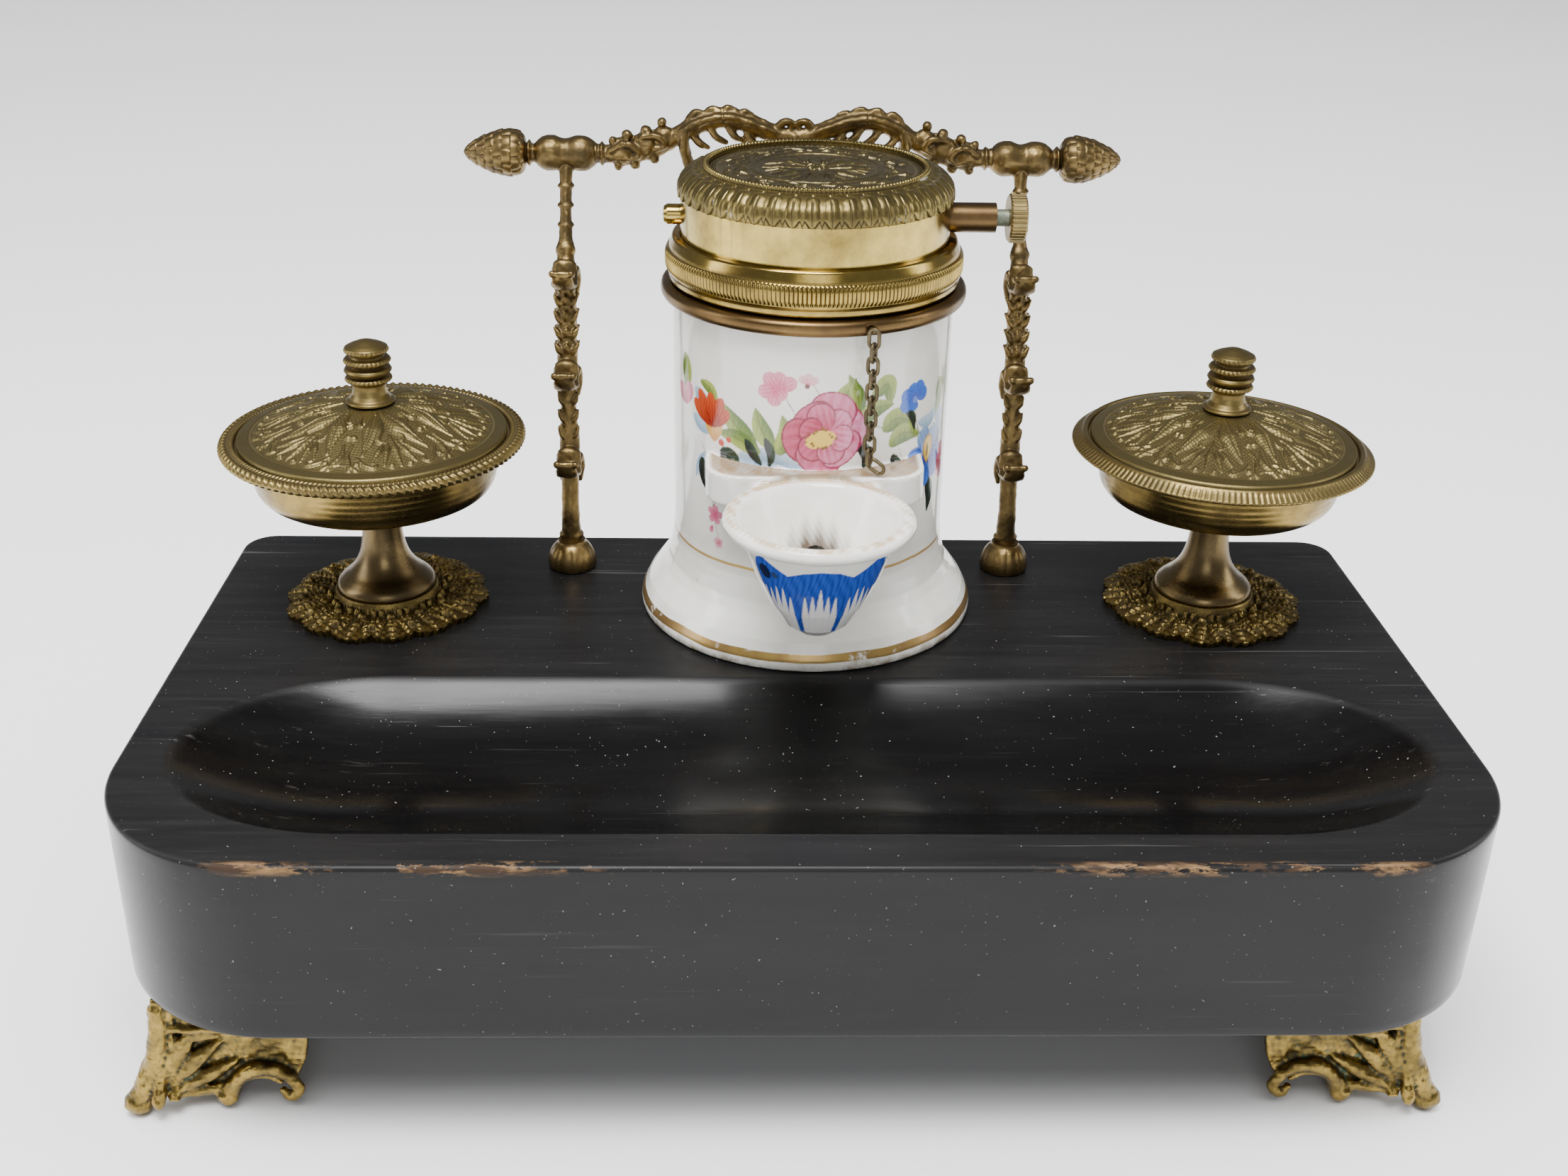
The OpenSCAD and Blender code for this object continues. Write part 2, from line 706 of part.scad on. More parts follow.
module chain_upper_links() {
    color(aged_brass) hanging_links(0, links_upper - 1);
}

// The last link leans over to lie on the ledge
module chain_lower_links() {
    last = links_upper + links_lower;
    reach = link_l / 2 - wire_d / 2;
    color(aged_brass) {
        hanging_links(links_upper, last - 1);
        at_chain(first_link_z - link_pitch * last + reach) rotate([0, 0, -45]) rotate([0, -end_tilt, 0])
            translate([0, 0, -reach]) wire_link(link_l);
    }
}

// ---------------------------------------------------------------- head

// Union ring: captive on the head's flange, knurled outside
module knurled_ring() {
    color(brass) at_well() difference() {
        rotate_extrude($fn = 128) polygon([[neck_r + run_gap, ring_z0], [34.3, ring_z0], [34.6, ring_z0 + 0.4],
            [34.6, well_h + 2.2], [35.2, well_h + 2.8], [ring_r, well_h + 4], [ring_r, well_h + 6.8],
            [35.2, well_h + 8], [34.4, well_h + 8.6], [33.6, ring_top_z],
            [drum_r + run_gap, ring_top_z], [drum_r + run_gap, guide_z + run_gap],
            [neck_r + run_gap, guide_z + run_gap]]);
        for (i = [0 : 35]) rotate([0, 0, i * 10]) translate([ring_r + 0.1, 0, well_h + 3.2])
            cylinder(r = 0.45, h = 4.4, $fn = 16);
    }
}

// Drum: a turned cup, open below, with a low boss under the medallion
module head_drum() {
    boss_r = 24;
    boss_z = medallion_z;
    color(brass) at_well() {
        difference() {
            union() {
                translate([0, 0, flange_z]) cylinder(r = neck_r - 0.05, h = flange_h, $fn = 128);
                translate([0, 0, flange_z]) cylinder(r = drum_r, h = drum_top_z - flange_z, $fn = 128);
                translate([0, 0, drum_top_z - 0.5])
                    cylinder(r = boss_r, h = boss_z - drum_top_z + 0.5, $fn = 96);
            }
            translate([0, 0, flange_z - 1])
                cylinder(r = drum_r - drum_wall, h = drum_top_z - drum_wall - flange_z + 1, $fn = 128);
            translate([0, 0, drum_top_z - 3])
                cylinder(r = boss_r - drum_wall, h = boss_z - 1 - drum_top_z + 3, $fn = 96);
            translate([0, 0, shaft_z]) rotate([0, 90, 0]) cylinder(r = tube_r + seat_gap, h = 40, $fn = 48);
            translate([0, 0, shaft_z]) rotate([0, -90, 0]) cylinder(r = stub_r + seat_gap, h = 40, $fn = 48);
        }
        at_guide_screws() difference() {
            translate([0, 0, plate_top_z])
                cylinder(r = 2.6, h = drum_top_z - drum_wall - plate_top_z + 0.1, $fn = 32);
            translate([0, 0, plate_top_z - 1]) cylinder(r = guide_screw_r + seat_gap, h = 6, $fn = 32);
        }
    }
}

// Cast border of leaves that caps the drum, with a beaded lip
module leaf_border() {
    lip_r = 25.8;
    inner_r = drum_r + seat_gap;
    color(aged_brass) at_well() translate([0, 0, drum_top_z]) rotate_extrude($fn = 128)
        polygon([[inner_r, -3.2], [32.3, -2.6], [32.6, -0.6], [31.6, 1.4], [29.6, 3], [lip_r + 0.9, 4.5],
            [lip_r - 0.6, 4.8], [medallion_r, 4.4], [medallion_r, 0], [inner_r, 0]]);
}

// Disc with a plain ring, eight bosses and a middle one
module medallion() {
    face_z = medallion_z + 1;
    color(bronze) at_well() {
        translate([0, 0, medallion_z]) cylinder(r = medallion_r - seat_gap, h = 1.2, $fn = 96);
        tube(15.6, 14.6, face_z, 0.8);
        for (i = [0 : 7]) rotate([0, 0, i * 45]) translate([6.6, 0, face_z])
            cylinder(r = 2.4, h = 0.7, $fn = 32);
        translate([0, 0, face_z]) cylinder(r = 3, h = 0.9, $fn = 32);
    }
}

// Bearing tube for the knob's side of the shaft
module shaft_tube() {
    color(bronze) at_well() translate([bearing_x, 0, shaft_z]) rotate([0, 90, 0]) difference() {
        cylinder(r = tube_r, h = 13.2, $fn = 48);
        translate([0, 0, -1]) cylinder(r = shaft_r + run_gap, h = 16, $fn = 48);
    }
}

// Domed stub that carries the shaft's far end
module pivot_stub() {
    color(brass) at_well() translate([-bearing_x, 0, shaft_z]) rotate([0, -90, 0]) difference() {
        rotate_extrude($fn = 48) polygon([[0, 0], [stub_r, 0], [stub_r, 5.4], [1.9, 6.2], [0, 6.6]]);
        translate([0, 0, -1]) cylinder(r = shaft_r + run_gap, h = 5, $fn = 48);
    }
}

// Puts its children at each of the guide plate's three screws
module at_guide_screws() {
    for (i = [0 : 2]) rotate([0, 0, 30 + 120 * i]) translate([screw_ring_r, 0, 0]) children();
}

// Plate inside the drum's mouth that guides the rack rod
module guide_plate() {
    color(brass) at_well() difference() {
        translate([0, 0, guide_z + 0.1])
            cylinder(r = drum_r - drum_wall - seat_gap, h = plate_top_z - guide_z - 0.1, $fn = 96);
        translate([-rod_w / 2 - guide_gap, pinion_pitch_r - tooth_tip - 0.2, guide_z - 1])
            cube([rod_w + 2 * guide_gap, rod_back + guide_gap - pinion_pitch_r + tooth_tip + 0.2, 5]);
        at_guide_screws() translate([0, 0, guide_z - 1])
            cylinder(r = guide_screw_r + seat_gap, h = 5, $fn = 32);
    }
}

// Screws that hold the guide plate up against three pillars in the drum
module guide_screws() {
    color(steel) at_well() at_guide_screws() {
        translate([0, 0, guide_z - 1]) cylinder(r = 1.9, h = 1.1, $fn = 32);
        translate([0, 0, guide_z]) cylinder(r = guide_screw_r, h = 4, $fn = 32);
    }
}

// ---------------------------------------------------------------- knob and pinion

// Shaft from the far stub to the knob, with a thicker neck outside the tube
module drive_shaft() {
    color(aged_brass) at_well() translate([0, 0, shaft_z]) rotate([0, 90, 0]) difference() {
        union() {
            translate([0, 0, -33]) cylinder(r = shaft_r, h = 33 + knob_x + knob_t, $fn = 48);
            translate([0, 0, 42.7]) cylinder(r = 2, h = knob_x - 42.7, $fn = 48);
        }
        translate([-5, 0, knob_x + knob_t / 2]) rotate([0, 90, 0])
            cylinder(r = pin_r + seat_gap, h = 10, $fn = 24);
    }
}

module knurled_knob() {
    color(brass) at_well() translate([knob_x, 0, shaft_z]) rotate([0, 90, 0]) difference() {
        rotate_extrude($fn = 96) polygon([[shaft_r + seat_gap, 0], [knob_r - 0.5, 0], [knob_r, 0.5],
            [knob_r, knob_t - 0.5], [knob_r - 0.5, knob_t], [shaft_r + seat_gap, knob_t]]);
        for (i = [0 : 35]) rotate([0, 0, i * 10]) translate([knob_r + 0.1, 0, -1])
            cylinder(r = 0.32, h = knob_t + 2, $fn = 16);
        translate([-7, 0, knob_t / 2]) rotate([0, 90, 0]) cylinder(r = pin_r + seat_gap, h = 14, $fn = 24);
    }
}

module knob_pin() {
    color(steel) at_well() translate([knob_x + knob_t / 2, 0, shaft_z])
        cylinder(r = pin_r, h = 10, center = true, $fn = 24);
}

// Pinion on the shaft's middle, with one tooth pointing at the rack
module pinion() {
    root_r = pinion_pitch_r - 0.8;
    tip_r = pinion_pitch_r + tooth_tip;
    color(brass) at_well() translate([0, 0, shaft_z]) rotate([90, 0, 90]) difference() {
        union() {
            translate([0, 0, -2.5]) cylinder(r = root_r, h = 5, $fn = 48);
            for (i = [0 : pinion_teeth - 1]) rotate([0, 0, i * 360 / pinion_teeth])
                translate([0, 0, -2.5]) linear_extrude(5)
                    polygon([[root_r - 0.2, -0.62], [pinion_pitch_r, -0.36], [tip_r, -0.16], [tip_r, 0.16],
                        [pinion_pitch_r, 0.36], [root_r - 0.2, 0.62]]);
        }
        translate([0, 0, -4]) cylinder(r = shaft_r + seat_gap, h = 8, $fn = 48);
    }
}

// ---------------------------------------------------------------- plunger

module plunger() {
    color([0.1, 0.09, 0.08]) at_well() difference() {
        union() {
            translate([0, 0, plunger_z + 3]) cylinder(r = plunger_r, h = plunger_h - 3, $fn = 96);
            translate([0, 0, plunger_z]) cylinder(r1 = plunger_r - 3, r2 = plunger_r, h = 3, $fn = 96);
        }
        translate([0, rod_y, rod_z - rod_pin_h])
            cylinder(r = rod_pin_r + seat_gap, h = rod_pin_h + 1, $fn = 32);
    }
}

// Rod with rack teeth that face the pinion
module rack_rod() {
    first = floor((plunger_travel + 1.6) / tooth_pitch);
    color(brass) at_well() {
        translate([0, rod_y, rod_z - rod_pin_h]) cylinder(r = rod_pin_r, h = rod_pin_h + nut_h + 0.5, $fn = 32);
        translate([-rod_w / 2, rod_front, rod_z + nut_h])
            cube([rod_w, rod_back - rod_front, rod_top_z - rod_z - nut_h]);
        for (i = [-2 : first - 1]) translate([-rod_w / 2, 0, shaft_z + (i + 0.5) * tooth_pitch])
            rotate([90, 0, 90]) linear_extrude(rod_w)
                polygon([[rod_front + 0.3, -0.62], [pinion_pitch_r, -0.36], [pinion_pitch_r - tooth_tip, -0.17],
                    [pinion_pitch_r - tooth_tip, 0.17], [pinion_pitch_r, 0.36], [rod_front + 0.3, 0.62]]);
    }
}

module rod_nut() {
    color(steel) at_well() translate([0, rod_y, rod_z]) difference() {
        cylinder(r = 3.6, h = nut_h, $fn = 6);
        translate([0, 0, -1]) cylinder(r = rod_pin_r + seat_gap, h = nut_h + 2, $fn = 32);
    }
}

// ---------------------------------------------------------------- output

base_block();
foot_front_left();
foot_front_right();
foot_rear_left();
foot_rear_right();
foot_screws();
rosette_left();
rosette_right();
dish_stem_left();
dish_stem_right();
bowl_left();
bowl_right();
rim_ring_left();
rim_ring_right();
dish_bolts();
dish_nuts();
lid_left();
lid_right();
finial_left();
finial_right();
rack_post_left();
rack_post_right();
post_shoe_left();
post_shoe_right();
rack_bar();
acorn_left();
acorn_right();
post_bolts();
post_nuts();
well_foot();
porcelain_well();
dipping_cup();
neck_collar();
neck_gasket();
chain_eye();
chain_upper_links();
chain_lower_links();
knurled_ring();
head_drum();
leaf_border();
medallion();
guide_plate();
guide_screws();
shaft_tube();
pivot_stub();
drive_shaft();
pinion();
knurled_knob();
knob_pin();
plunger();
rack_rod();
rod_nut();
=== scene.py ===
import json
import math

import bmesh
import bpy
import numpy as np
from mathutils import Matrix, Vector
from mathutils.bvhtree import BVHTree

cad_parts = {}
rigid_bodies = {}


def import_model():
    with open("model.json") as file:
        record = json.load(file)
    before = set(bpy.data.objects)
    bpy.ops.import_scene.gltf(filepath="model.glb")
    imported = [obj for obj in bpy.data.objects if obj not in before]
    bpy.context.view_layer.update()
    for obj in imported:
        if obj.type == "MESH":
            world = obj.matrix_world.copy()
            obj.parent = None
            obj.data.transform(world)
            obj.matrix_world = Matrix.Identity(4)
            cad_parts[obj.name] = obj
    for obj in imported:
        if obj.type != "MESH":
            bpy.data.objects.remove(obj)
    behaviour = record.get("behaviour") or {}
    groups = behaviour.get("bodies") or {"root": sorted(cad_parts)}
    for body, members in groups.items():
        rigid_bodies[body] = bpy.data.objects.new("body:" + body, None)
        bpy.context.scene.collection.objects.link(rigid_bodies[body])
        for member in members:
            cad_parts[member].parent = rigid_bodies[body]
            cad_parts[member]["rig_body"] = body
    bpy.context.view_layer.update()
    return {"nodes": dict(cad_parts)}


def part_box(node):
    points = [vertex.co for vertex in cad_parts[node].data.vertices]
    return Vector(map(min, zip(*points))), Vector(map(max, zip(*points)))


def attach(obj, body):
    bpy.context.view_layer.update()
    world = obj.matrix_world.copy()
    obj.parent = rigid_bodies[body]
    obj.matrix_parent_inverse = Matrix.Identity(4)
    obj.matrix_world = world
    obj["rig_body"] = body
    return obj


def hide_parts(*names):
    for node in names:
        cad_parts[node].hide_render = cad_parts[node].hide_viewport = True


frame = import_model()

MM = 0.001
TAU = 2 * math.pi


# ------------------------------------------------------------------ places, from the frame (millimetres)

def box_mm(node):
    low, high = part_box(node)
    return np.array(low) / MM, np.array(high) / MM


def middle(node):
    low, high = box_mm(node)
    return (low + high) / 2


BLOCK_LOW, BLOCK_HIGH = box_mm("base_block")
TOP_Z = BLOCK_HIGH[2]
WELL = np.array([*middle("neck_collar")[:2], TOP_Z])
DISHES = {side: np.array([*middle("lid_" + side)[:2], TOP_Z]) for side in ("left", "right")}
POSTS = {side: np.array([*middle("post_shoe_" + side)[:2], TOP_Z]) for side in ("left", "right")}
BAR = middle("rack_bar")
WELL_R = 33.6


# ------------------------------------------------------------------ camera, light, floor

def make_camera():
    """The eye stands a little left of the middle, looking down at about 26 degrees."""
    eye = Vector((-17.64, -367.91, 274.0)) * MM
    pitch = math.radians(26.12)
    yaw = math.radians(2.02)
    roll = math.radians(1.197)
    data = bpy.data.cameras.new("camera")
    data.lens, data.sensor_width = 39.88, 36
    data.clip_start = 0.01
    camera = bpy.data.objects.new("camera", data)
    turn = Matrix.Rotation(-yaw, 4, "Z") @ Matrix.Rotation(math.pi / 2 - pitch, 4,
            "X") @ Matrix.Rotation(roll, 4, "Z")
    camera.matrix_world = Matrix.Translation(eye) @ turn
    bpy.context.scene.collection.objects.link(camera)
    bpy.context.scene.camera = camera


def area_light(name, place, target, size, power, colour=(1, 1, 1)):
    data = bpy.data.lights.new(name, "AREA")
    data.shape = "RECTANGLE"
    data.size, data.size_y = size
    data.energy = power
    data.color = colour
    light = bpy.data.objects.new(name, data)
    light.location = place
    aim = Vector(target) - Vector(place)
    light.rotation_euler = aim.to_track_quat("-Z", "Y").to_euler()
    bpy.context.scene.collection.objects.link(light)
    return light


def make_lights():
    area_light("key", (-0.12, -0.30, 1.0), (0, 0, 0.1), (0.5, 0.35), 12)
    area_light("front_low", (0.0, -0.75, 0.42), (0, 0, 0.12), (0.34, 0.30), 0.7)
    area_light("left_side", (-1.0, -0.1, 0.5), (0, 0, 0.1), (0.3, 0.7), 3.0)
    area_light("right_side", (1.0, 0.0, 0.55), (0, 0, 0.1), (0.3, 0.7), 2.5)
    for name, place, size, power in (("floor_wash", (0, 0.7, 1.9), (4.0, 4.0), 105),
                                     ("front_wash", (0, -0.6, 1.7), (2.6, 1.6), 30)):
        wash = area_light(name, place, (place[0], place[1], 0), size, power)
        wash.visible_glossy = False
    world = bpy.data.worlds.new("sky")
    world.use_nodes = True
    background = world.node_tree.nodes["Background"]
    background.inputs["Color"].default_value = (0.93, 0.95, 1.0, 1)
    background.inputs["Strength"].default_value = 0.26
    bpy.context.scene.world = world


def make_floor():
    mesh = bpy.data.meshes.new("floor")
    s = 4.0
    mesh.from_pydata([(-s, -s, 0), (s, -s, 0), (s, s, 0), (-s, s, 0)], [], [(0, 1, 2, 3)])
    floor = bpy.data.objects.new("floor", mesh)
    bpy.context.scene.collection.objects.link(floor)
    material = bpy.data.materials.new("floor")
    material.use_nodes = True
    shader = material.node_tree.nodes["Principled BSDF"]
    shader.inputs["Base Color"].default_value = (0.92, 0.92, 0.92, 1)
    shader.inputs["Roughness"].default_value = 0.75
    mesh.materials.append(material)


# ------------------------------------------------------------------ materials

class Nodes:
    """A short way to write shader nodes: each method adds a node and returns its output."""

    def __init__(self, name):
        self.material = bpy.data.materials.new(name)
        self.material.use_nodes = True
        self.tree = self.material.node_tree
        self.shader = self.tree.nodes["Principled BSDF"]
        self.position = self.add("ShaderNodeTexCoord").outputs["Object"]

    def add(self, kind, **settings):
        node = self.tree.nodes.new(kind)
        for key, value in settings.items():
            setattr(node, key, value)
        return node

    def feed(self, socket, value):
        if isinstance(value, bpy.types.NodeSocket):
            self.tree.links.new(value, socket)
        else:
            socket.default_value = value

    def stretch(self, scale):
        node = self.add("ShaderNodeMapping")
        self.feed(node.inputs["Vector"], self.position)
        node.inputs["Scale"].default_value = scale
        return node.outputs["Vector"]

    def noise(self, scale, detail=4, rough=0.55, stretch=None):
        node = self.add("ShaderNodeTexNoise")
        self.feed(node.inputs["Vector"], self.stretch(stretch) if stretch else self.position)
        for name, number in (("Scale", scale), ("Detail", detail), ("Roughness", rough)):
            node.inputs[name].default_value = number
        return node.outputs["Fac"]

    def spots(self, scale, stretch=None):
        node = self.add("ShaderNodeTexVoronoi")
        self.feed(node.inputs["Vector"], self.stretch(stretch) if stretch else self.position)
        node.inputs["Scale"].default_value = scale
        return node.outputs["Distance"]

    def ramp(self, value, low, high, out_low=0.0, out_high=1.0):
        node = self.add("ShaderNodeMapRange")
        self.feed(node.inputs["Value"], value)
        for name, number in (("From Min", low), ("From Max", high), ("To Min", out_low),
                             ("To Max", out_high)):
            node.inputs[name].default_value = number
        return node.outputs["Result"]

    def math(self, kind, a, b=0.0):
        node = self.add("ShaderNodeMath", operation=kind)
        self.feed(node.inputs[0], a)
        self.feed(node.inputs[1], b)
        return node.outputs[0]

    def times(self, a, b):
        return self.math("MULTIPLY", a, b)

    def plus(self, a, b):
        return self.math("ADD", a, b)

    def most(self, a, b):
        return self.math("MAXIMUM", a, b)

    def mix(self, factor, a, b):
        node = self.add("ShaderNodeMix", data_type="RGBA")
        self.feed(node.inputs["Factor"], factor)
        self.feed(node.inputs["A"], (*a, 1) if isinstance(a, tuple) else a)
        self.feed(node.inputs["B"], (*b, 1) if isinstance(b, tuple) else b)
        return node.outputs["Result"]

    def axis(self, name):
        node = self.add("ShaderNodeSeparateXYZ")
        self.feed(node.inputs[0], self.position)
        return node.outputs[name]

    def hollows(self, low=0.44, high=0.52):
        """1 in hollows and 0 on ridges, from the mesh's own curvature."""
        node = self.add("ShaderNodeNewGeometry")
        return self.ramp(node.outputs["Pointiness"], low, high, 1.0, 0.0)

    def attribute(self, name):
        layer = self.add("ShaderNodeVertexColor", layer_name=name)
        return layer.outputs["Color"], layer.outputs["Alpha"]

    def bump(self, height, strength=0.2, distance=0.0002):
        node = self.add("ShaderNodeBump")
        self.feed(node.inputs["Height"], height)
        node.inputs["Strength"].default_value = strength
        node.inputs["Distance"].default_value = distance
        self.feed(self.shader.inputs["Normal"], node.outputs["Normal"])

    def finish(self, **sockets):
        for name, value in sockets.items():
            socket = self.shader.inputs[name.replace("_", " ").title().replace("Ior", "IOR")]
            if isinstance(value, tuple) and len(value) == 3:
                value = (*value, 1)
            self.feed(socket, value)
        return self.material


def metal(name, bright, dull, dirt, rough=(0.25, 0.5), grain=900, dirt_range=(0.44, 0.5), bump=0.15,
          cloud=60, stretch=None, specks=None):
    """Metal with a cloudy patina, dirt in its hollows and fine surface grain."""
    n = Nodes(name)
    patches = n.ramp(n.noise(cloud, 6, 0.65), 0.35, 0.65)
    fine = n.noise(grain, 5, 0.6, stretch=stretch)
    hollow = n.hollows(*dirt_range)
    colour = n.mix(patches, bright, dull)
    colour = n.mix(n.times(n.ramp(fine, 0.45, 0.75), 0.35), colour, dull)
    colour = n.mix(hollow, colour, dirt)
    if specks:
        spots = n.ramp(n.noise(220, 3, 0.5), 0.62, 0.7)
        colour = n.mix(n.times(spots, n.ramp(hollow, 0.1, 0.8)), colour, specks)
    roughness = n.ramp(n.plus(n.times(patches, 0.6), n.times(fine, 0.6)), 0.2, 1.0, *rough)
    roughness = n.most(roughness, n.times(hollow, 0.62))
    n.bump(n.plus(fine, n.times(n.noise(grain / 5, 4), 0.7)), bump)
    return n.finish(base_color=colour, roughness=roughness,
                    metallic=n.ramp(hollow, 0.0, 1.0, 1.0, 0.55))


MATERIALS = {}


def make_materials():
    m = MATERIALS
    m["polished"] = metal("polished_brass", (0.52, 0.37, 0.095), (0.22, 0.155, 0.045), (0.05, 0.033, 0.012),
                          rough=(0.10, 0.26), grain=1500, bump=0.06, cloud=70, stretch=(1, 1, 12))
    m["drum"] = metal("drum_brass", (0.68, 0.51, 0.14), (0.26, 0.185, 0.05), (0.05, 0.034, 0.012),
                      rough=(0.08, 0.24), grain=1100, bump=0.06, cloud=55, stretch=(1, 1, 16))
    m["leaf"] = metal("leaf_brass", (0.34, 0.26, 0.085), (0.15, 0.115, 0.045), (0.02, 0.016, 0.008),
                      rough=(0.22, 0.45), grain=1400, dirt_range=(0.45, 0.505), specks=(0.72, 0.70, 0.62))
    m["lid"] = metal("lid_brass", (0.31, 0.245, 0.095), (0.185, 0.145, 0.06), (0.055, 0.042, 0.02),
                     rough=(0.34, 0.55), grain=1600, bump=0.2)
    m["ring"] = metal("ring_brass", (0.36, 0.265, 0.095), (0.18, 0.135, 0.055), (0.05, 0.036, 0.018),
                      rough=(0.3, 0.5), grain=1600)
    m["spun"] = metal("spun_brass", (0.33, 0.23, 0.07), (0.115, 0.08, 0.03), (0.035, 0.025, 0.012),
                      rough=(0.14, 0.34), grain=700, stretch=(1, 1, 14), cloud=70)
    m["bronze"] = metal("dark_bronze", (0.27, 0.185, 0.07), (0.105, 0.075, 0.035), (0.035, 0.025, 0.014),
                        rough=(0.28, 0.55), grain=900, bump=0.35, cloud=120)
    m["gilt"] = metal("gilt_casting", (0.36, 0.245, 0.062), (0.105, 0.076, 0.027), (0.014, 0.019, 0.010),
                      rough=(0.2, 0.44), grain=1100, bump=0.5, cloud=140, dirt_range=(0.455, 0.505),
                      specks=(0.07, 0.14, 0.09))
    m["collar"] = metal("browned_brass", (0.20, 0.125, 0.05), (0.105, 0.065, 0.032), (0.03, 0.02, 0.012),
                        rough=(0.26, 0.42), grain=1200, stretch=(1, 1, 10))
    m["medallion"] = metal("medallion_bronze", (0.30, 0.235, 0.095), (0.13, 0.105, 0.055),
                           (0.02, 0.016, 0.011),
                           rough=(0.24, 0.45), grain=1500, bump=0.2, dirt_range=(0.465, 0.5))
    m["chain"] = metal("chain_wire", (0.20, 0.16, 0.085), (0.11, 0.09, 0.055), (0.03, 0.025, 0.018),
                       rough=(0.35, 0.6), grain=2200)
    m["steel"] = metal("fixing_steel", (0.32, 0.32, 0.33), (0.15, 0.15, 0.155), (0.05, 0.045, 0.04),
                       rough=(0.3, 0.55), grain=1400)
    m["stem"] = metal("stem_bronze", (0.26, 0.185, 0.08), (0.13, 0.095, 0.05), (0.04, 0.03, 0.018),
                      rough=(0.2, 0.36), grain=900, bump=0.1, cloud=50, stretch=(1, 1, 10))
    m["wreath"] = metal("wreath_bronze", (0.34, 0.245, 0.075), (0.105, 0.075, 0.03), (0.016, 0.013, 0.008),
                        rough=(0.26, 0.5), grain=900, bump=0.4, cloud=150)
    m["knob"] = metal("knob_brass", (0.42, 0.31, 0.12), (0.22, 0.17, 0.08), (0.05, 0.04, 0.025),
                      rough=(0.3, 0.5), grain=1200)
    m["verdigris"] = metal("verdigris_brass", (0.38, 0.38, 0.30), (0.22, 0.26, 0.20), (0.10, 0.12, 0.09),
                           rough=(0.5, 0.75), grain=1500, cloud=300)
    m["wood"] = ebonised_wood()
    m["porcelain"] = porcelain()
    m["leather"] = leather()
    m["ebonite"] = ebonite()


def ebonised_wood():
    """Black-stained wood: grain along X, scratches, dust, darker sides, brown where its edge is worn."""
    n = Nodes("ebonised_wood")
    grain = n.noise(90, 8, 0.7, stretch=(0.12, 1.6, 1.6))
    pores = n.noise(420, 5, 0.65, stretch=(0.06, 1.0, 1.0))
    scratch = n.ramp(n.noise(260, 3, 0.6, stretch=(0.05, 2.2, 2.2)), 0.66, 0.72)
    wear = n.noise(95, 8, 0.75, stretch=(0.4, 1, 1))
    z = n.axis("Z")
    y = n.axis("Y")
    front = BLOCK_LOW[1] * MM
    top = TOP_Z * MM
    near_edge = n.times(n.ramp(z, top - 0.0024, top - 0.0009), n.ramp(y, front + 0.0026, front + 0.0011))
    chipped = n.times(near_edge, n.ramp(wear, 0.49, 0.515))
    x = n.axis("X")
    far_out = n.ramp(n.math("ABSOLUTE", x), 0.038, 0.062)
    chipped = n.times(chipped, far_out)
    colour = n.mix(n.ramp(grain, 0.3, 0.75), (0.0045, 0.0045, 0.005), (0.012, 0.0115, 0.0115))
    colour = n.mix(n.times(n.ramp(pores, 0.55, 0.7), 0.4), colour, (0.02, 0.019, 0.018))
    colour = n.mix(n.times(scratch, 0.35), colour, (0.11, 0.105, 0.1))
    below = n.ramp(z, top - 0.0004, top - 0.0016)
    colour = n.mix(n.times(below, 0.65), colour, (0.001, 0.001, 0.001))
    brown = n.mix(n.ramp(n.noise(420, 5, 0.7, stretch=(0.25, 1, 1)), 0.46, 0.6), (0.035, 0.02, 0.011),
                  (0.20, 0.115, 0.05))
    colour = n.mix(chipped, colour, brown)
    dust = n.ramp(n.noise(1300, 2, 0.5), 0.73, 0.76)
    colour = n.mix(n.times(dust, 0.6), colour, (0.3, 0.29, 0.27))
    low_z = n.ramp(z, top - 0.0004, top - 0.0012)
    inside = n.times(low_z, n.ramp(y, front + 0.003, front + 0.006))
    rough = n.ramp(n.noise(55, 6, 0.7, stretch=(0.35, 1, 1)), 0.3, 0.7, 0.30, 0.46)
    glossy = n.ramp(n.noise(70, 6, 0.7, stretch=(0.2, 1, 1)), 0.3, 0.7, 0.13, 0.26)
    mixed = n.plus(n.times(rough, n.math("SUBTRACT", 1.0, inside)), n.times(glossy, inside))
    rough_all = n.most(mixed, n.times(chipped, 0.7))
    height = n.plus(n.times(pores, 0.5), n.times(scratch, -0.5))
    height = n.math("SUBTRACT", height, n.times(chipped, 2.0))
    n.bump(height, 0.12, 0.0003)
    return n.finish(base_color=colour, roughness=rough_all, metallic=0.0, specular_ior_level=0.26)


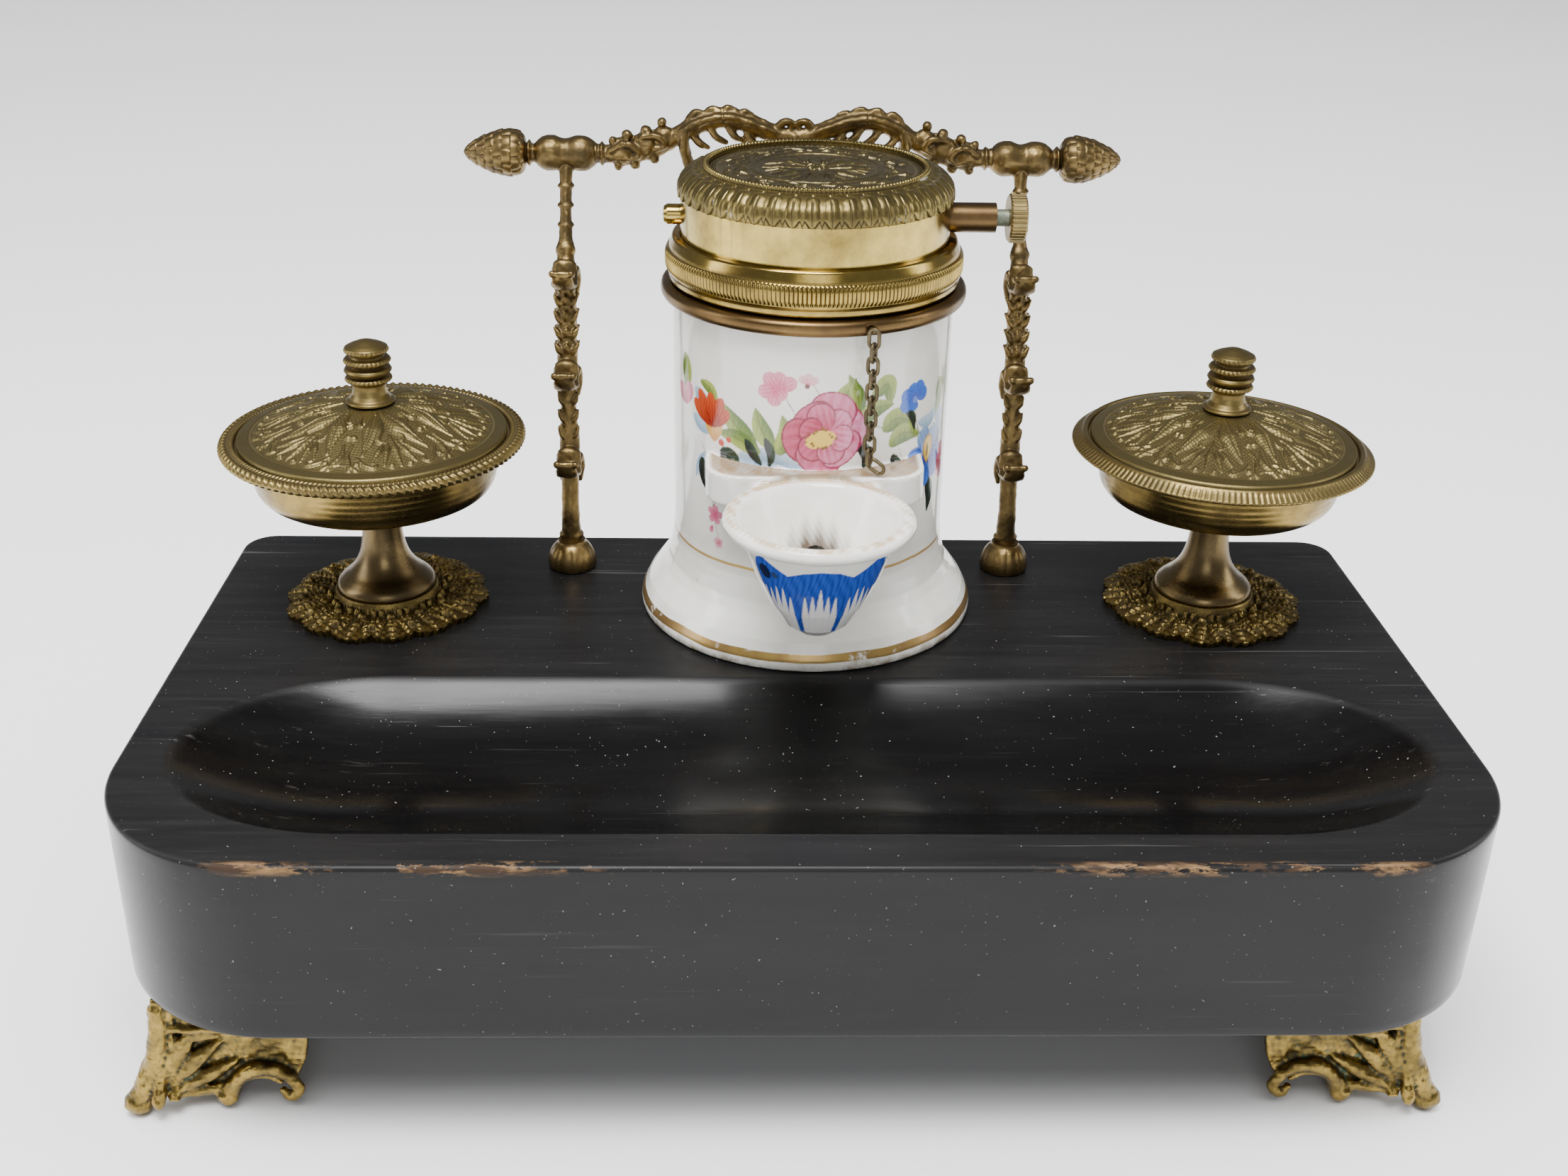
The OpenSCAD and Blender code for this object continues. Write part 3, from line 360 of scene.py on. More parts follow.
def porcelain():
    """Warm white glaze with stains and two gold lines, which carry a painted highlight in front and painted
    shade at the sides; the flowers are painted on the mesh's points.
    """
    n = Nodes("painted_porcelain")
    stain_and_painted_shade = n.ramp(n.noise(35, 7, 0.7), 0.48, 0.72)
    colour = n.mix(n.times(stain_and_painted_shade, 0.45), (0.84, 0.83, 0.77), (0.64, 0.575, 0.46))
    z = n.axis("Z")
    top = TOP_Z * MM
    wobble = n.times(n.math("SUBTRACT", n.noise(60, 2), 0.5), 0.0012)
    height = n.plus(z, wobble)

    def band(middle_mm, half_mm, worn):
        away = n.math("ABSOLUTE", n.math("SUBTRACT", height, top + middle_mm * MM))
        line = n.ramp(away, half_mm * MM, (half_mm - 0.14) * MM)
        return n.times(line, n.ramp(n.noise(160, 4, 0.65), worn, worn + 0.08))

    thin = band(21.9, 0.42, 0.34)
    foot = band(3.7, 1.05, 0.30)
    gold = n.most(thin, foot)
    low = n.ramp(z, top + 0.0045, top + 0.0005)
    colour = n.mix(n.times(low, n.ramp(n.noise(140, 6, 0.7), 0.45, 0.62)), colour, (0.33, 0.27, 0.19))
    pits = n.ramp(n.spots(260), 0.045, 0.03)
    pits = n.times(pits, n.ramp(n.noise(70, 2), 0.6, 0.64))
    colour = n.mix(pits, colour, (0.09, 0.07, 0.05))
    # Painted light on the gold lines: brighter gold in front is a painted highlight, browner gold at the
    # sides is painted shade.
    painted_side_shade_mask = n.ramp(n.math("ABSOLUTE", n.axis("X")), 0.016, 0.034)
    gold_lit_front_shaded_sides = n.mix(painted_side_shade_mask, (0.66, 0.44, 0.12), (0.34, 0.21, 0.085))
    colour = n.mix(gold, colour, n.mix(n.ramp(n.noise(150, 5), 0.35, 0.65), (0.40, 0.25, 0.09), gold_lit_front_shaded_sides))
    painted, cover = n.attribute("paint")
    colour = n.mix(cover, colour, painted)
    shine = n.ramp(n.noise(50, 5, 0.65), 0.3, 0.7, 0.08, 0.17)
    roughness = n.most(shine, n.times(gold, 0.32))
    n.bump(n.noise(120, 3, 0.5), 0.05, 0.0004)
    return n.finish(base_color=colour, roughness=roughness, metallic=n.times(foot, 0.75),
                    coat_weight=0.35, coat_roughness=0.06)


def leather():
    n = Nodes("oiled_leather")
    cells = n.spots(1500)
    colour = n.mix(n.ramp(n.noise(300), 0.35, 0.65), (0.05, 0.026, 0.014), (0.12, 0.065, 0.035))
    n.bump(cells, 0.4)
    return n.finish(base_color=colour, roughness=n.ramp(cells, 0.0, 0.6, 0.45, 0.7), metallic=0.0)


def ebonite():
    n = Nodes("ebonite")
    rings = n.noise(500, 5, 0.6, stretch=(1, 1, 9))
    colour = n.mix(rings, (0.008, 0.007, 0.006), (0.03, 0.025, 0.02))
    n.bump(rings, 0.2)
    return n.finish(base_color=colour, roughness=n.ramp(rings, 0.3, 0.7, 0.22, 0.4), metallic=0.0)


# ------------------------------------------------------------------ mesh tools

def body_of(node):
    return frame["nodes"][node]["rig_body"]


def add_piece(name, mesh, material, node, replaces=None):
    """Links a piece, rides it on its node's body, and replaces that node, or the given ones."""
    piece = bpy.data.objects.new(name, mesh)
    bpy.context.scene.collection.objects.link(piece)
    mesh.materials.clear()
    mesh.materials.append(MATERIALS[material])
    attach(piece, body_of(node))
    for other in replaces or [node]:
        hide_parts(other)
    return piece


def to_mesh(name, points, faces, smooth=True):
    """Mesh from points in millimetres."""
    mesh = bpy.data.meshes.new(name)
    mesh.from_pydata((np.asarray(points) * MM).tolist(), [], faces)
    if smooth:
        mesh.shade_smooth()
    mesh.update()
    return mesh


def grid_faces(rows, columns, wrap_rows=False, wrap_columns=False):
    """Quads of a rows x columns grid of points numbered row by row."""
    faces = []
    for i in range(rows if wrap_rows else rows - 1):
        a = i * columns
        b = ((i + 1) % rows) * columns
        for j in range(columns if wrap_columns else columns - 1):
            k = (j + 1) % columns
            faces.append((a + j, a + k, b + k, b + j))
    return faces


def capped(points, faces, count):
    """Faces of a tube whose rings have `count` points each, with its two ends closed."""
    last = len(points) - count
    return faces + [tuple(reversed(range(count))), tuple(last + j for j in range(count))]


def curve(points, step=0.4):
    """Points evenly along a smooth curve through the given ones (Catmull-Rom)."""
    p = np.asarray(points, float)
    ends = np.vstack([2 * p[0] - p[1], p, 2 * p[-1] - p[-2]])
    out = []
    for i in range(len(p) - 1):
        a, b, c, d = ends[i:i + 4]
        count = max(2, int(np.linalg.norm(c - b) / step))
        t = np.linspace(0, 1, count, endpoint=False)[:, None]
        square, cube = 2 * a - 5 * b + 4 * c - d, 3 * b - a - 3 * c + d
        out.append(0.5 * (2 * b + (c - a) * t + square * t ** 2 + cube * t ** 3))
    out.append(p[-1:])
    return np.vstack(out)


def line(points, step=0.4):
    """Points evenly along straight pieces."""
    p = np.asarray(points, float)
    out = []
    for a, b in zip(p[:-1], p[1:]):
        count = max(1, int(np.linalg.norm(b - a) / step))
        out.append(a + (b - a) * np.linspace(0, 1, count, endpoint=False)[:, None])
    out.append(p[-1:])
    return np.vstack(out)


def lathe(profile, steps, relief=None, closed=False):
    """Surface turned about Z from (radius, height) points; relief(angle, distance, r, z) pushes it out."""
    p = np.asarray(profile, float)
    tangent = np.gradient(p, axis=0)
    length = np.maximum(np.linalg.norm(tangent, axis=1), 1e-9)
    normal = np.stack([tangent[:, 1], -tangent[:, 0]], 1) / length[:, None]
    angle = np.arange(steps) * TAU / steps
    along = np.concatenate([[0], np.cumsum(np.linalg.norm(np.diff(p, axis=0), axis=1))])
    push = np.zeros((len(p), steps))
    if relief:
        push = relief(angle[None, :], along[:, None], p[:, :1], p[:, 1:2]) * np.ones_like(push)
    r = p[:, :1] + push * normal[:, :1]
    z = p[:, 1:2] + push * normal[:, 1:2]
    points = np.stack([r * np.cos(angle), r * np.sin(angle), z * np.ones_like(r)], -1).reshape(-1, 3)
    return points, grid_faces(len(p), steps, wrap_rows=closed, wrap_columns=True)


def turned_piece(name, profile, at, material, node, steps=192, relief=None, closed=True,
                 sharp=None):
    points, faces = lathe(profile, steps, relief, closed)
    mesh = to_mesh(name, points + at, faces)
    if sharp:
        mark_sharp(mesh, sharp)
    return add_piece(name, mesh, material, node)


def mark_sharp(mesh, degrees):
    bm = bmesh.new()
    bm.from_mesh(mesh)
    bm.normal_update()
    limit = math.radians(degrees)
    for edge in bm.edges:
        if len(edge.link_faces) == 2 and edge.calc_face_angle() > limit:
            edge.smooth = False
    bm.to_mesh(mesh)
    bm.free()


def face_out(mesh, weld=0.0):
    """Turns all faces outwards, after joining points closer than `weld`."""
    bm = bmesh.new()
    bm.from_mesh(mesh)
    if weld:
        bmesh.ops.remove_doubles(bm, verts=bm.verts, dist=weld)
    bmesh.ops.recalc_face_normals(bm, faces=bm.faces)
    bm.to_mesh(mesh)
    bm.free()


def bump_height(distance, width, height):
    """Half-round ridge: height at its middle line, nothing past its half width."""
    return height * np.sqrt(np.clip(1 - (distance / width) ** 2, 0, None))


def stroke_relief(x, y, strokes):
    """Relief of curved tapering ridges. A stroke: (points, half width at start, middle, end, height)."""
    out = np.zeros(np.broadcast(x, y).shape)
    for points, w0, w1, w2, height in strokes:
        path = curve(points, 0.5)
        best = np.full(out.shape, 1e9)
        where = np.zeros(out.shape)
        segments = len(path) - 1
        for i in range(segments):
            a = path[i]
            d = path[i + 1] - a
            size = max(d @ d, 1e-12)
            t = np.clip(((x - a[0]) * d[0] + (y - a[1]) * d[1]) / size, 0, 1)
            distance = np.hypot(x - a[0] - t * d[0], y - a[1] - t * d[1])
            closer = distance < best
            best = np.where(closer, distance, best)
            where = np.where(closer, (i + t) / segments, where)
        width = np.where(where < 0.5, w0 + (w1 - w0) * where * 2, w1 + (w2 - w1) * (where * 2 - 1))
        out = np.maximum(out, bump_height(best, np.maximum(width, 0.05),
                height) * np.clip(width / max(w0, w1, w2), 0.3, 1))
    return out


def baked(name, points, faces, modifiers):
    """Mesh in metres, from points in millimetres, after modifiers given as (kind, settings)."""
    mesh = bpy.data.meshes.new(name)
    mesh.from_pydata(np.asarray(points).tolist(), [], faces)
    return modified(mesh, modifiers, MM)


def modified(mesh, modifiers, scale=1.0):
    holder = bpy.data.objects.new("holder", mesh)
    bpy.context.scene.collection.objects.link(holder)
    for kind, settings in modifiers:
        modifier = holder.modifiers.new(kind, kind)
        for key, value in settings.items():
            setattr(modifier, key, value)
    bpy.context.view_layer.update()
    evaluated = holder.evaluated_get(bpy.context.evaluated_depsgraph_get())
    out = bpy.data.meshes.new_from_object(evaluated)
    bpy.data.objects.remove(holder)
    bpy.data.meshes.remove(mesh)
    out.transform(Matrix.Scale(scale, 4))
    out.shade_smooth()
    return out


def joined(shells):
    """One list of points and faces from several."""
    points, faces, start = [], [], 0
    for p, f in shells:
        points.append(np.asarray(p, float))
        faces += [tuple(start + i for i in face) for face in f]
        start += len(p)
    return np.vstack(points), faces


def ribbon(path, widths, thicknesses, side=(1, 0, 0), sides=14, step=0.6):
    """Closed oval rod along a smooth path: half widths along `side`, half thicknesses across it."""
    p = curve(path, step)
    t = np.gradient(p, axis=0)
    t /= np.linalg.norm(t, axis=1)[:, None]
    s = np.asarray(side, float)
    s = s - (t @ s)[:, None] * t
    s /= np.maximum(np.linalg.norm(s, axis=1), 1e-6)[:, None]
    n = np.cross(t, s)
    where = np.linspace(0, 1, len(p))
    w = np.interp(where, np.linspace(0, 1, len(widths)), widths)
    h = np.interp(where, np.linspace(0, 1, len(thicknesses)), thicknesses)
    cap = 5
    a = np.arange(sides) * TAU / sides
    rings = []
    for k in range(cap):
        f = math.sin(math.pi / 2 * (k + 0.5) / cap)
        back = math.cos(math.pi / 2 * (k + 0.5) / cap) * min(w[0], h[0])
        rings.append((p[0] - t[0] * back, s[0], n[0], w[0] * f, h[0] * f))
    rings += [(p[i], s[i], n[i], w[i], h[i]) for i in range(len(p))]
    for k in reversed(range(cap)):
        f = math.sin(math.pi / 2 * (k + 0.5) / cap)
        ahead = math.cos(math.pi / 2 * (k + 0.5) / cap) * min(w[-1], h[-1])
        rings.append((p[-1] + t[-1] * ahead, s[-1], n[-1], w[-1] * f, h[-1] * f))
    points = np.vstack([c + np.outer(np.cos(a) * rw, sv) + np.outer(np.sin(a) * rh, nv)
                        for c, sv, nv, rw, rh in rings])
    return points, capped(points, grid_faces(len(rings), sides, wrap_columns=True), sides)


def rod(path, radii, step=0.6, sides=14):
    path = np.asarray(path, float)
    run = path[-1] - path[0]
    side = (0, 0, 1) if abs(run[2]) < 0.8 * np.linalg.norm(run) + 1e-9 else (1, 0, 0)
    return ribbon(path, radii, radii, side, sides, step)


def ball(centre, radii, steps=16):
    rx, ry, rz = (radii,) * 3 if np.isscalar(radii) else radii
    a = np.linspace(-math.pi / 2, math.pi / 2, steps // 2 + 1)
    points, faces = lathe(np.stack([np.maximum(np.cos(a), 1e-3), np.sin(a)], 1), steps)
    return points * (rx, ry, rz) + np.asarray(centre, float), capped(points, faces, steps)


class Shells(list):
    """Closed shells that are fused into one casting."""

    def rib(self, *shape):
        self.append(ribbon(*shape))

    def lump(self, *shape):
        self.append(ball(*shape))


def slab(outline, low, high):
    """Closed prism between two heights from a plan outline."""
    n = len(outline)
    o = np.asarray(outline, float)
    points = np.vstack([np.column_stack([o, np.full(n, low)]), np.column_stack([o, np.full(n, high)])])
    faces = [(i, (i + 1) % n, n + (i + 1) % n, n + i) for i in range(n)]
    return points, faces + [tuple(reversed(range(n))), tuple(range(n, 2 * n))]


def cast(name, shells, voxel=0.3, smooth=3, grain=0.0, seed=0):
    """Fuses closed shells into one casting, softens it and roughens its skin a little."""
    points, faces = joined(shells)
    mesh = baked(name, points, faces, [
        ("REMESH", {"mode": "VOXEL", "voxel_size": voxel, "adaptivity": 0.0}),
        ("SMOOTH", {"factor": 0.5, "iterations": smooth}),
    ])
    if grain:
        roughen(mesh, grain, seed)
    return mesh


def roughen(mesh, amount, seed=0):
    """Moves points along their normals by soft random waves, amount in millimetres."""
    co = np.zeros(len(mesh.vertices) * 3, np.float32)
    no = np.zeros(len(mesh.vertices) * 3, np.float32)
    mesh.vertices.foreach_get("co", co)
    mesh.vertices.foreach_get("normal", no)
    co, no = co.reshape(-1, 3), no.reshape(-1, 3)
    waves = np.random.default_rng(seed)
    push = np.zeros(len(co))
    for size in (1.1, 1.7, 2.6, 4.0):
        for _ in range(5):
            direction = waves.normal(size=3)
            direction /= np.linalg.norm(direction)
            push += np.sin(co @ direction / MM * TAU / size + waves.uniform(0, TAU)) * size / 12
    co += no * (push[:, None] * amount * MM)
    mesh.vertices.foreach_set("co", co.ravel())
    mesh.update()


def disc(outer, inner, height, rings=70, steps=720, skirt=0.0):
    """Relief disc, flat below at z = 0, with outer(angle) and top height(x, y, angle, share of radius)."""
    angle = np.arange(steps) * TAU / steps
    share = np.linspace(0, 1, rings)[:, None]
    r = inner + (outer(angle)[None, :] - inner) * share
    x, y = r * np.cos(angle), r * np.sin(angle)
    z = height(x, y, angle[None, :] * np.ones_like(r), share * np.ones_like(r))
    top = np.stack([x, y, z], -1)
    low_edge = top[-1].copy()
    low_edge[:, 2] = 0
    low_edge[:, :2] *= 1 - skirt
    low_hole = top[0].copy()
    low_hole[:, 2] = 0
    points = np.concatenate([top, low_edge[None], low_hole[None]]).reshape(-1, 3)
    return points, [tuple(reversed(f))
                    for f in grid_faces(rings + 2, steps, wrap_rows=True, wrap_columns=True)]


def fold(angle, sectors):
    """Angle measured from the middle of its own sector."""
    width = TAU / sectors
    return (angle + width / 2) % width - width / 2


# ------------------------------------------------------------------ base block

def plan_outline(spacing=1.2):
    """The block's outline, round at its corners, starting at the right of its front."""
    w, d = BLOCK_HIGH[0], (BLOCK_HIGH[1] - BLOCK_LOW[1]) / 2
    mid = (BLOCK_HIGH[1] + BLOCK_LOW[1]) / 2
    front, back = 38.4, 8.0
    corners = [(w - front, -d + front, front, -90), (w - back, d - back, back, 0),
               (-w + back, d - back, back, 90), (-w + front, -d + front, front, 180)]
    points = []
    for x, y, r, start in corners:
        turn = np.radians(np.linspace(start, start + 90, max(8, int(r * 1.57 / spacing))))
        points.append(np.stack([x + r * np.cos(turn), mid + y + r * np.sin(turn)], 1))
    return line(np.vstack(points + [points[0][:1]]), spacing)[:-1]


TROUGH = {"y": -39.35, "half_l": 140.5, "half_w": 33.0, "end": 44.0, "depth": 13.0}


def trough_share(x, y):
    """0 along the trough's middle line and 1 at its edge."""
    past = np.maximum(np.abs(x) - (TROUGH["half_l"] - TROUGH["end"]), 0) / TROUGH["end"]
    return np.hypot(past, (y - TROUGH["y"]) / TROUGH["half_w"])


def make_block():
    """Rounded block with a smooth scoop in its top and four counterbores underneath."""
    outline = plan_outline()
    centre = np.array([0, TROUGH["y"]])
    way = outline - centre
    low, high = np.zeros(len(way)), np.ones(len(way))
    for _ in range(40):  # halves the gap to the trough's edge
        half = (low + high) / 2
        p = centre + way * half[:, None]
        inside = trough_share(p[:, 0], p[:, 1]) < 1
        low, high = np.where(inside, half, low), np.where(inside, high, half)
    edge = (low + high) / 2
    length = np.linalg.norm(way, axis=1)
    rows = []
    round_over = 0.9
    for share in [*np.linspace(0.004, 0.96, 64), 0.975, 0.985, 0.992, 0.997, 1.0]:
        p = centre + way * (edge * share)[:, None]
        depth = TROUGH["depth"] * np.clip(1 - trough_share(p[:, 0], p[:, 1]) ** 2, 0, None)
        soft = np.where(depth < round_over, depth ** 2 / (4 * round_over) + depth * 0.5,
                        depth - round_over / 4)
        rows.append(np.column_stack([p, TOP_Z - soft]))
    lip = rows[-1][:, :2]
    for out in (0.3, 1.0, 3.0):
        rows.append(np.column_stack([lip + way / length[:, None] * out, np.full(len(way), TOP_Z)]))
    inner = rows[-1][:, :2]
    normal = np.column_stack([np.roll(outline[:, 1], -1) - np.roll(outline[:, 1], 1),
                              np.roll(outline[:, 0], 1) - np.roll(outline[:, 0], -1)])
    normal /= np.linalg.norm(normal, axis=1)[:, None]
    bevel = 1.3
    target = outline - normal * (bevel + 1.5)
    for share in (0.33, 0.66, 1.0):
        rows.append(np.column_stack([inner + (target - inner) * share, np.full(len(way), TOP_Z)]))
    for a in np.radians([90, 75, 60, 45, 30, 15, 0]):
        rows.append(np.column_stack([outline - normal * bevel * (1 - math.cos(a)),
                                     np.full(len(way), TOP_Z - bevel * (1 - math.sin(a)))]))
    low_z, under = BLOCK_LOW[2], 0.8
    for z in np.linspace(TOP_Z - 3, low_z + 2.5, 16):
        rows.append(np.column_stack([outline, np.full(len(way), z)]))
    for a in np.radians([0, 30, 60, 90]):
        rows.append(np.column_stack([outline - normal * under * (1 - math.cos(a)),
                                     np.full(len(way), low_z + under * (1 - math.sin(a)))]))
    for share in (0.9, 0.5, 0.004):
        rows.append(np.column_stack([centre + (outline - centre) * share, np.full(len(way), low_z)]))
    n = len(way)
    points = np.vstack(rows)
    mesh = bpy.data.meshes.new("block")
    mesh.from_pydata(points.tolist(), [], capped(points, grid_faces(len(rows), n, wrap_columns=True), n))
    mesh.update()
    face_out(mesh)
    spots = [DISHES["left"], DISHES["right"], POSTS["left"], POSTS["right"]]
    cutters = []
    for spot in spots:
        p, f = lathe([(0.01, low_z - 2), (5.5, low_z - 2), (5.5, low_z + 8), (0.01, low_z + 8)], 48,
                     closed=True)
        cutters.append((p + (spot[0], spot[1], 0), f))
    cutter = solid_object("cutter", *joined(cutters))
    block = modified(mesh, [("BOOLEAN", {"operation": "DIFFERENCE", "object": cutter, "solver": "EXACT"})],
                     MM)
    bpy.data.objects.remove(cutter)
    mark_sharp(block, 35)
    add_piece("ebonised_block", block, "wood", "base_block")


def solid_object(name, points, faces):
    """A closed shell as an object of its own, for booleans."""
    mesh = bpy.data.meshes.new(name)
    mesh.from_pydata(np.asarray(points).tolist(), [], faces)
    face_out(mesh, weld=1e-4)
    thing = bpy.data.objects.new(name, mesh)
    bpy.context.scene.collection.objects.link(thing)
    return thing


# ------------------------------------------------------------------ porcelain

CUP_REACH = 55.0
GLAZED = [(0.01, 0), (41.2, 0), (42.1, 0.5), (42.3, 1.8), (42.1, 3.1), (41.4, 4.6), (40.2, 7.0),
          (38.4, 9.4), (36.6, 11.7), (35.3, 14.0), (34.5, 17.0), (33.9, 20.0), (33.65, 24.0), (33.6, 30.0),
          (33.6, 84.4), (33.0, 85.0), (0.01, 85.0)]
CUP_OUT = [(0.01, 18.0), (2.4, 18.3), (4.6, 19.3), (7.5, 21.6), (11.0, 27.0), (14.3, 34.0), (16.3, 39.6),
           (17.2, 42.6), (18.5, 43.7), (20.4, 44.1), (21.3, 45.0), (21.5, 46.0), (21.1, 47.0),
           (20.2, 47.45), (18.6, 47.5), (0.01, 47.5)]
CUP_IN = [(0.01, 26.4), (2.5, 26.6), (5.0, 27.4), (7.6, 29.2), (10.6, 33.2), (13.4, 38.4), (15.6, 43.0),
          (17.2, 45.9), (17.9, 46.8), (18.7, 47.3), (19.6, 47.52), (19.8, 49), (0.01, 49)]


def ledge_outline():
    """Plan of the shelf behind the cup: round front corners and a straight front."""
    w, front, back, r = 25.5, -38.2, -18.0, 8.5
    corner = [(w - r + r * math.cos(a), front + r + r * math.sin(a))
              for a in np.radians(np.linspace(-90, 0, 9))]
    right = [(w - r - 6, front), *corner, (w, back)]
    return right + [(-x, y) for x, y in reversed(right)]


def make_porcelain():
    """Cylinder, cup, ledge and neck fused, then hollowed; paint is held by the points of the mesh."""
    p, f = lathe(line(GLAZED, 1.0), 240, closed=True)
    shells = [(p, f)]
    p, f = lathe(line(CUP_OUT, 0.8), 144, closed=True)
    shells.append((p + (0, -CUP_REACH, 0), f))
    shells.append(slab(ledge_outline(), 41.4, 48.7))
    shells.append(rod([(0, -CUP_REACH + 4, 31.5), (0, -CUP_REACH + 12, 31.5), (0, -30, 31.5)],
                      [8.5, 9.5, 9.5], sides=40))
    solids = [solid_object("shell", *s) for s in shells]
    trees = [BVHTree.FromObject(s, bpy.context.evaluated_depsgraph_get()) for s in solids]
    points, faces = joined(shells)
    mesh = baked("porcelain", points, faces, [
        ("REMESH", {"mode": "VOXEL", "voxel_size": 0.5, "adaptivity": 0.0}),
        ("SMOOTH", {"factor": 0.5, "iterations": 4}),
    ])
    settle(mesh, trees)
    for s in solids:
        bpy.data.objects.remove(s)
    mesh.transform(Matrix.Scale(1 / MM, 4))
    inner = [lathe(line([(0.01, 12), (28.5, 12), (28.5, 80), (27, 80), (27, 87), (0.01, 87)], 1.5), 160,
                   closed=True),
             lathe(line([(0.01, -1), (33, -1), (34, -0.5), (34, 2.4), (0.01, 2.4)], 1.5), 160, closed=True)]
    p, f = lathe(line(CUP_IN, 0.5), 160, closed=True)
    inner.append((p + (0, -CUP_REACH, 0), f))
    cutter = solid_object("hollow", *joined(inner))
    port = solid_object("port", *rod([(0, -CUP_REACH + 6.5, 31), (0, -40, 31), (0, -25, 31)],
                                     [3.5, 3.5, 3.5], sides=32))
    mesh = modified(mesh, [
        ("BOOLEAN", {"operation": "DIFFERENCE", "object": cutter, "solver": "EXACT"}),
        ("BOOLEAN", {"operation": "DIFFERENCE", "object": port, "solver": "EXACT"}),
    ])
    for thing in (cutter, port):
        bpy.data.objects.remove(thing)
    mesh = refined(mesh)
    paint(mesh)
    mesh.transform(Matrix.Translation(Vector(WELL)))
    mesh.transform(Matrix.Scale(MM, 4))
    mark_sharp(mesh, 38)
    add_piece("painted_porcelain", mesh, "porcelain", "porcelain_well",
              replaces=["well_foot", "porcelain_well", "dipping_cup"])


def settle(mesh, trees):
    """Puts each point that belongs to one shell alone back on that shell's true surface."""
    for v in mesh.vertices:
        found = sorted(((tree.find_nearest(v.co / MM)[3], i) for i, tree in enumerate(trees)))
        nearest, second = found[0], found[1]
        if nearest[0] > 0.5:
            continue
        weight = min(1.0, max(0.0, (second[0] - 0.7) / 1.3))
        if weight > 0:
            place = trees[nearest[1]].find_nearest(v.co / MM)[0]
            v.co = v.co.lerp(place * MM, weight)


def refined(mesh):
    """Splits the faces where there is paint, so that brush strokes stay crisp."""
    bm = bmesh.new()
    bm.from_mesh(mesh)
    edges = set()
    for face in bm.faces:
        c = face.calc_center_median()
        radius = math.hypot(c.x, c.y)
        on_wall = 32.8 < radius < 35 and 21 < c.z < 76
        on_cup = c.y < -CUP_REACH and 17 < c.z < 44 and math.hypot(c.x,
                c.y + CUP_REACH) > 0.6 * (c.z - 12) - 2
        if on_wall or on_cup:
            edges.update(face.edges)
    bmesh.ops.subdivide_edges(bm, edges=list(edges), cuts=1, use_grid_fill=True)
    bmesh.ops.triangulate(bm, faces=[f for f in bm.faces if len(f.verts) > 4])
    bm.to_mesh(mesh)
    bm.free()
    return mesh


